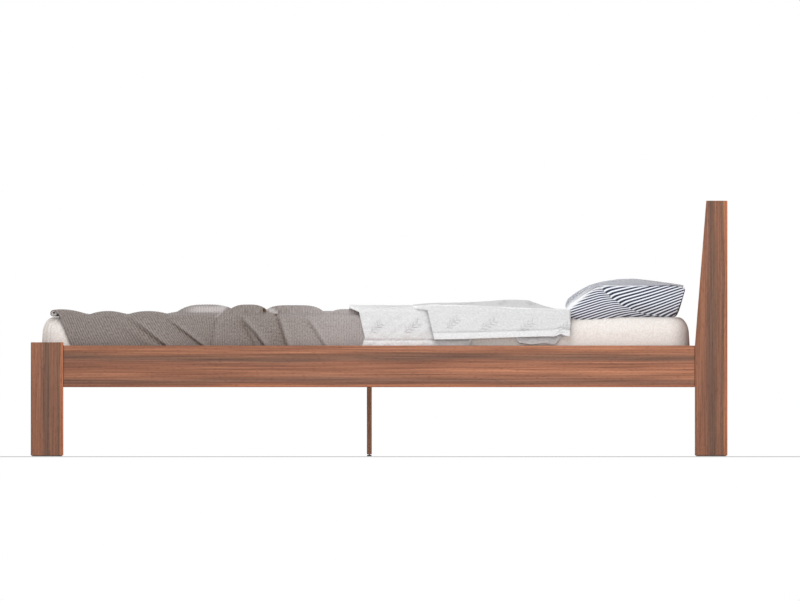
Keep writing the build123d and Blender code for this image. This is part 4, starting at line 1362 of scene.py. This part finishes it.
# %% [markdown]
# ## Pillows
# A pillow is two sheets of ticking sewn together round the edge and stuffed. Seen from its end, the seam runs
# from a low front corner up to a high back one, the crown swells above it, and the stuffing bellies out below
# it on to the mattress. So the form is two grids that share their rim: superellipses set how squarely the
# sides turn down, and a short cloth simulation under pressure then draws the ticking tight and puckers the
# seam.

# %% Pillow form
PILLOW_STEPS_X = 61
PILLOW_STEPS_Y = 81
CURVE_STEPS = 4000
SQUARENESS = 4.5
BACK_SQUARENESS = 9.0
END_SQUARENESS = 6.0
OUTER_SQUARENESS = 12.0
WALL = 0.090
PULL_IN_ENDS = 0.030
PULL_IN_SIDES = 0.012
BACK_TUCK = 0.024
FRONT_TUCK = 0.004
BELLY_OUT = 0.012
CROWN_ROUND = 2.6
RIM_POWER = 6
RIM_ZERO = 1e-9
# At its outer end a pillow hangs over the mattress's edge, and its front droops there. Steps across are in
# shares of the half length, and along in metres.
OVERHANG = 0.018
OVERHANG_FROM = (0.5, 0.5)
DROOP = 0.020
DROOP_FROM = (0.82, 0.12)
DROOP_ALONG = (0.66, 0.12)
# Heights in a section along the bed: the end seam, from its low front corner to its high back one, and the
# crown above it.
SEAM_X = (0.572, 0.586, 0.600, 0.632, 0.660, 0.682, 0.740, 0.800, 0.900, 0.945)
SEAM_Z = (0.452, 0.468, 0.477, 0.499, 0.516, 0.523, 0.5215, 0.5215, 0.525, 0.517)
CROWN_X = (0.572, 0.580, 0.611, 0.647, 0.682, 0.735, 0.782, 0.823, 0.894, 0.930, 0.945)
CROWN_Z = (0.462, 0.478, 0.501, 0.520, 0.530, 0.538, 0.5395, 0.5355, 0.526, 0.5205, 0.517)

pillow_low, pillow_high = (np.array(corner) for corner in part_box("pillowcase_right"))
pillow_middle = (pillow_low + pillow_high) / 2
pillow_half = (pillow_high - pillow_low) / 2
sole_height = pillow_low[2]


def half_section(count, half, squareness):
    """One half of a superellipse, sin(t)^(2/n) out and cos(t)^(2/n) deep, with its points evenly spaced along
    the curve when it is drawn at its real half width and wall height."""
    t = np.linspace(0.0, np.pi / 2, CURVE_STEPS)
    out = np.sin(t) ** (2.0 / squareness)
    depth = np.maximum(np.cos(t) - RIM_ZERO, 0.0) ** (2.0 / squareness)
    run = np.append(0.0, np.cumsum(np.hypot(np.diff(out) * half, np.diff(depth) * WALL)))
    even = np.linspace(0.0, run[-1], count // 2 + 1)
    return np.interp(even, run, out), np.interp(even, run, depth)


def section(count, half, low_square, high_square):
    """A whole section from -1 to 1: two halves, which may differ in how squarely they turn down."""
    low, low_depth = half_section(count, half, low_square)
    high, high_depth = half_section(count, half, high_square)
    return np.concatenate([-low[:0:-1], high]), np.concatenate([low_depth[:0:-1], high_depth])


def pillow_sheets(outer_side):
    """Both sheets of one pillow. The lower one drops from the seam to the sole by the product of the depths
    along and across it; the upper one rises to the crown. Sides pull in between the corners."""
    a, depth_a = section(PILLOW_STEPS_X, pillow_half[0], SQUARENESS, BACK_SQUARENESS)
    ends = (OUTER_SQUARENESS, END_SQUARENESS) if outer_side < 0 else (END_SQUARENESS, OUTER_SQUARENESS)
    b, depth_b = section(PILLOW_STEPS_Y, pillow_half[1], *ends)
    a, b = a[None, :], b[:, None]
    full = depth_a[None, :] * depth_b[:, None]
    outer = b * outer_side
    y_middle = outer_side * abs(pillow_middle[1])
    plan_x = pillow_middle[0] + pillow_half[0] * a * (1.0 - PULL_IN_SIDES * (1.0 - b**2))
    plan_y = pillow_half[1] * b * (1.0 - PULL_IN_ENDS * (1.0 - a**2))
    plan_y = y_middle + plan_y + outer_side * OVERHANG * rising(outer, *OVERHANG_FROM)
    seam_z = np.interp(plan_x, SEAM_X, SEAM_Z)
    crown_z = np.interp(plan_x, CROWN_X, CROWN_Z)
    upper_z = seam_z + np.maximum(crown_z - seam_z, 0.0) * (1.0 - np.abs(b) ** CROWN_ROUND)
    sole = sole_height - DROOP * rising(outer, *DROOP_FROM) * (1.0 - rising(plan_x, *DROOP_ALONG))
    lower_z = seam_z - (seam_z - sole) * full
    tuck = FRONT_TUCK * np.clip(-a, 0.0, 1.0) ** RIM_POWER - BACK_TUCK * np.clip(a, 0.0, 1.0) ** RIM_POWER
    belly = BELLY_OUT * np.sin(np.pi * full) * np.abs(b) ** RIM_POWER * np.sign(b)
    upper = np.stack([plan_x, plan_y, upper_z], axis=-1)
    lower = np.stack([plan_x + tuck * full, plan_y + belly, lower_z], axis=-1)
    return upper, lower, seam_z


crown, _, _ = pillow_sheets(-1.0)
print("pillow crown from", crown.min(axis=(0, 1)), "to", crown.max(axis=(0, 1)))

# %% [markdown]
# ## Seams and stripes
# The stripes are woven in, so they follow the ticking: along the crown, and in a fan across each end, where
# a crease parts two bundles that meet at an angle. A picture laid on the end could not bend with them. Here
# each point gets its place across the stripes by a formula, one for either side of the crease, and both go
# into a UV layer; a second layer holds the plain border and the height above the crease, by which the
# finish chooses.

# %% Pillow seams and stripes
STRIPE = 0.0097
# The fan beyond the crease: its slope where it starts, how the slope grows downwards and to the head.
FAN_START = 0.800
FAN_TOP = 0.515
FAN_REACH = 0.15
STRIPE_SLOPE = 0.27
STRIPE_FAN = 0.9
STRIPE_CURVE = 0.5
# The closer stripes before the crease.
FINE_SLOPE = 0.33
FINE_SHARE = 1.21
# Both hook down beside the crease, by a height that dies out over a reach. The fan's ends at a step.
HOOK = (0.006, 0.009)
HOOK_ENDS = (0.750, 0.05)
FINE_HOOK = (0.010, 0.015)
CREASE_FROM = (0.676, 0.520)
CREASE_TO = (0.860, 0.434)
CREASE_BOW = 0.097
BORDER_LOW = 0.020
BORDER_HIGH = 0.007
BORDER_NARROWS = (0.580, 0.09)
BORDER_END = (0.690, 0.010)
BORDER_EDGE = 0.004
# The crown's front corners are paler.
CORNER_PALE = 0.60
CORNER_ALONG = (0.670, 0.06)
CORNER_ACROSS = (0.42, 0.05)
SEAM_WELD = 2e-4


def above_crease(x, z):
    """Height above the crease that crosses a pillow's end: a line from its top at the seam to its foot near
    the sole, hollowed by bow t (1 - t)."""
    share = (x - CREASE_FROM[0]) / (CREASE_TO[0] - CREASE_FROM[0])
    line = CREASE_FROM[1] + (CREASE_TO[1] - CREASE_FROM[1]) * share
    return z - line + CREASE_BOW * np.clip(share, 0.0, 1.0) * np.clip(1.0 - share, 0.0, 1.0)


def stripes_on_end(x, z, above):
    """Two stripe coordinates on a pillow's end. Above the crease it is the height that a stripe had where
    the fan starts, z - m (x - start), with a slope m that grows downwards and to the head; below it, a
    steeper and closer count."""
    run = x - FAN_START
    straight = z - (STRIPE_SLOPE + STRIPE_FAN * FAN_TOP) * run - STRIPE_CURVE * run**2 / 2
    fan = straight / (1.0 - STRIPE_FAN * np.minimum(run, FAN_REACH))
    hook = HOOK[0] * (1.0 - rising(x, *HOOK_ENDS))
    fan = fan + hook * np.exp(-np.maximum(above, 0.0) / HOOK[1])
    fine_hook = FINE_HOOK[0] * np.exp(np.minimum(above, 0.0) / FINE_HOOK[1])
    return np.stack([fan, FINE_SHARE * (z - FINE_SLOPE * run + fine_hook)], axis=-1)


def pillow_object(name, outer_side):
    """Sews the two sheets at the rim. Stripes are counted along the pillow's length on the crown and up the
    ends below it; a plain border lies below the front of the seam, narrower towards its top."""
    upper, lower, seam_z = pillow_sheets(outer_side)
    steps = np.linalg.norm(np.diff(upper, axis=0), axis=-1)
    run = np.vstack([np.zeros((1, upper.shape[1])), np.cumsum(steps, axis=0)])
    upper_count = np.repeat((run - run[-1:] / 2)[..., None], 2, axis=-1)
    from_middle = np.abs(run / run[-1:] - 0.5)
    paler_corners = CORNER_PALE * falling(upper[..., 0], *CORNER_ALONG) * rising(from_middle, *CORNER_ACROSS)
    x, z = lower[..., 0], lower[..., 2]
    above = above_crease(x, z)
    lower_count = stripes_on_end(x, z, above)
    width = BORDER_LOW + (BORDER_HIGH - BORDER_LOW) * rising(x, *BORDER_NARROWS)
    border = falling(x, *BORDER_END) * falling(seam_z - z, width, BORDER_EDGE)
    upper_border = np.stack([paler_corners, 0.0 * x], axis=-1)
    lower_border = np.stack([border, above], axis=-1)
    layers = {
        "stripes": np.concatenate([upper_count, lower_count[::-1]]),
        "border": np.concatenate([upper_border, lower_border[::-1]]),
    }
    return grid_object(name, np.concatenate([upper, lower[::-1]]), layers, weld=SEAM_WELD)


pillows = {side: pillow_object(f"pillow_{side}", sign) for side, sign in (("right", -1.0), ("left", 1.0))}

# %% [markdown]
# ## Stuffing
# A stuffed case is tight in the middle and puckers along its seam. Blender's cloth does that by itself when
# it is under pressure, with gravity off, for a few frames. Left longer it would turn the pillow into a
# balloon, so each point may only move a little. The crease is then pressed in by formula, since it has to
# meet the stripes.

# %% Pillow stuffing
PUFF_FRAMES = 20
PUFF_QUALITY = 5
PUFF_PRESSURE = 4.0
PUFF_LIMIT = 0.006
CREASE_DEPTH = 0.010
CREASE_WIDTH = 0.011
CREASE_RUNS = (0.02, 0.04)
CREASE_ACROSS = (0.80, 0.08)


def points_of(mesh):
    """A mesh's points as an (n, 3) array."""
    flat = np.empty(len(mesh.vertices) * 3)
    mesh.vertices.foreach_get("co", flat)
    return flat.reshape(-1, 3)


def move_points(mesh, points):
    """Puts a mesh's points where an (n, 3) array says."""
    mesh.vertices.foreach_set("co", points.ravel())
    mesh.update()


def stuff(pieces):
    """Blows the sewn cases up by cloth simulation: pressure without gravity for a few frames. A point moves
    at most the limit from where it was, and none goes below the sole."""
    for piece in pieces:
        cloth = piece.modifiers.new("stuffing", "CLOTH")
        cloth.settings.quality = PUFF_QUALITY
        cloth.settings.use_pressure = True
        cloth.settings.uniform_pressure_force = PUFF_PRESSURE
        cloth.settings.effector_weights.gravity = 0.0
        cloth.point_cache.frame_end = PUFF_FRAMES
    for number in range(1, PUFF_FRAMES + 1):
        scene.frame_set(number)
    graph = bpy.context.evaluated_depsgraph_get()
    for piece in pieces:
        before = points_of(piece.data)
        move = points_of(piece.evaluated_get(graph).to_mesh()) - before
        length = np.linalg.norm(move, axis=1, keepdims=True)
        after = before + move * np.minimum(1.0, PUFF_LIMIT / np.maximum(length, NO_LENGTH))
        after[:, 2] = np.maximum(after[:, 2], np.minimum(before[:, 2], sole_height))
        print(piece.name, "is pushed", length.mean(), "m on average and keeps at most", PUFF_LIMIT)
        piece.evaluated_get(graph).to_mesh_clear()
        piece.modifiers.clear()
        move_points(piece.data, after)
    scene.frame_set(1)


def press_crease(piece):
    """Presses the crease into both ends of a pillow, as a groove exp(-(d / width)^2) deep."""
    points = points_of(piece.data)
    middle = (points[:, 1].min() + points[:, 1].max()) / 2
    end = (points[:, 1] - middle) / pillow_half[1]
    x, z = points[:, 0], points[:, 2]
    within = rising(x, CREASE_FROM[0], CREASE_RUNS[0]) * falling(x, CREASE_TO[0], CREASE_RUNS[1])
    groove = mound(above_crease(x, z), CREASE_WIDTH) * within * rising(np.abs(end), *CREASE_ACROSS)
    points[:, 1] -= np.sign(end) * CREASE_DEPTH * groove
    move_points(piece.data, points)


stuff(list(pillows.values()))
for pillow in pillows.values():
    press_crease(pillow)
    soft = pillow.modifiers.new("softness", "SUBSURF")
    soft.levels = 1
    soft.render_levels = 1
    print(pillow.name, "is", np.ptp(points_of(pillow.data), axis=0).round(3), "m in size")

# %% [markdown]
# ## Percale
# Percale is a close, smooth cotton weave, and its stripes are dyed yarn, so their edges are sharp. The eye
# gets an even matt cloth with clear navy lines and a plain white border. The stripes could be a picture,
# but it would need far more pixels than the few nodes do: the place across the stripes, counted in stripes,
# keeps its fraction, and a ramp turns that into white or navy.

# %% Pillow finish
# Navy striped cotton percale: smooth and close woven, with a plain white border.
STRIPE_WHITE = "#F0F3FA"
STRIPE_NAVY = "#2A3048"
BORDER_WHITE = "#F2F3F6"
STRIPE_STOPS = (
    (0.00, STRIPE_WHITE),
    (0.41, STRIPE_WHITE),
    (0.46, STRIPE_NAVY),
    (0.95, STRIPE_NAVY),
    (1.00, STRIPE_WHITE),
)
# A Mix node's sockets for plain numbers.
MIX_NUMBER_A = 2
MIX_NUMBER_B = 3

striped, tree = new_tree("navy striped percale")
fan, close, _ = add_node(tree, "SeparateXYZ", {0: add_node(tree, "UVMap", uv_map="stripes")}).outputs
border, above, _ = add_node(tree, "SeparateXYZ", {0: add_node(tree, "UVMap", uv_map="border")}).outputs
beyond_crease = add_node(tree, "Math", {0: above, 1: 0.0}, operation="GREATER_THAN")
across_stripes = add_node(
    tree,
    "Mix",
    {MIX_FACTOR: beyond_crease, MIX_NUMBER_A: close, MIX_NUMBER_B: fan},
    data_type="FLOAT",
)
stripe_count = add_node(tree, "Math", {0: across_stripes, 1: 1 / STRIPE}, operation="MULTIPLY")
stripe_place = add_node(tree, "Math", {0: stripe_count}, operation="FRACT")
stripe_colour = add_node(tree, "ValToRGB", {"Fac": stripe_place}, stops=STRIPE_STOPS)
pillow_colour = add_node(
    tree,
    "Mix",
    {MIX_FACTOR: border, MIX_A: stripe_colour, MIX_B: linear(BORDER_WHITE)},
    data_type="RGBA",
)
finish_tree(tree, {"Base Color": pillow_colour, "Roughness": 0.85, "Sheen Weight": 0.1})
for side, pillow in pillows.items():
    pillow.data.materials.append(striped)
    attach(pillow, f"pillow_{side}")
    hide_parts(f"pillow_filling_{side}", f"pillowcase_{side}")
print(striped.name, "takes", len(tree.nodes), "nodes")
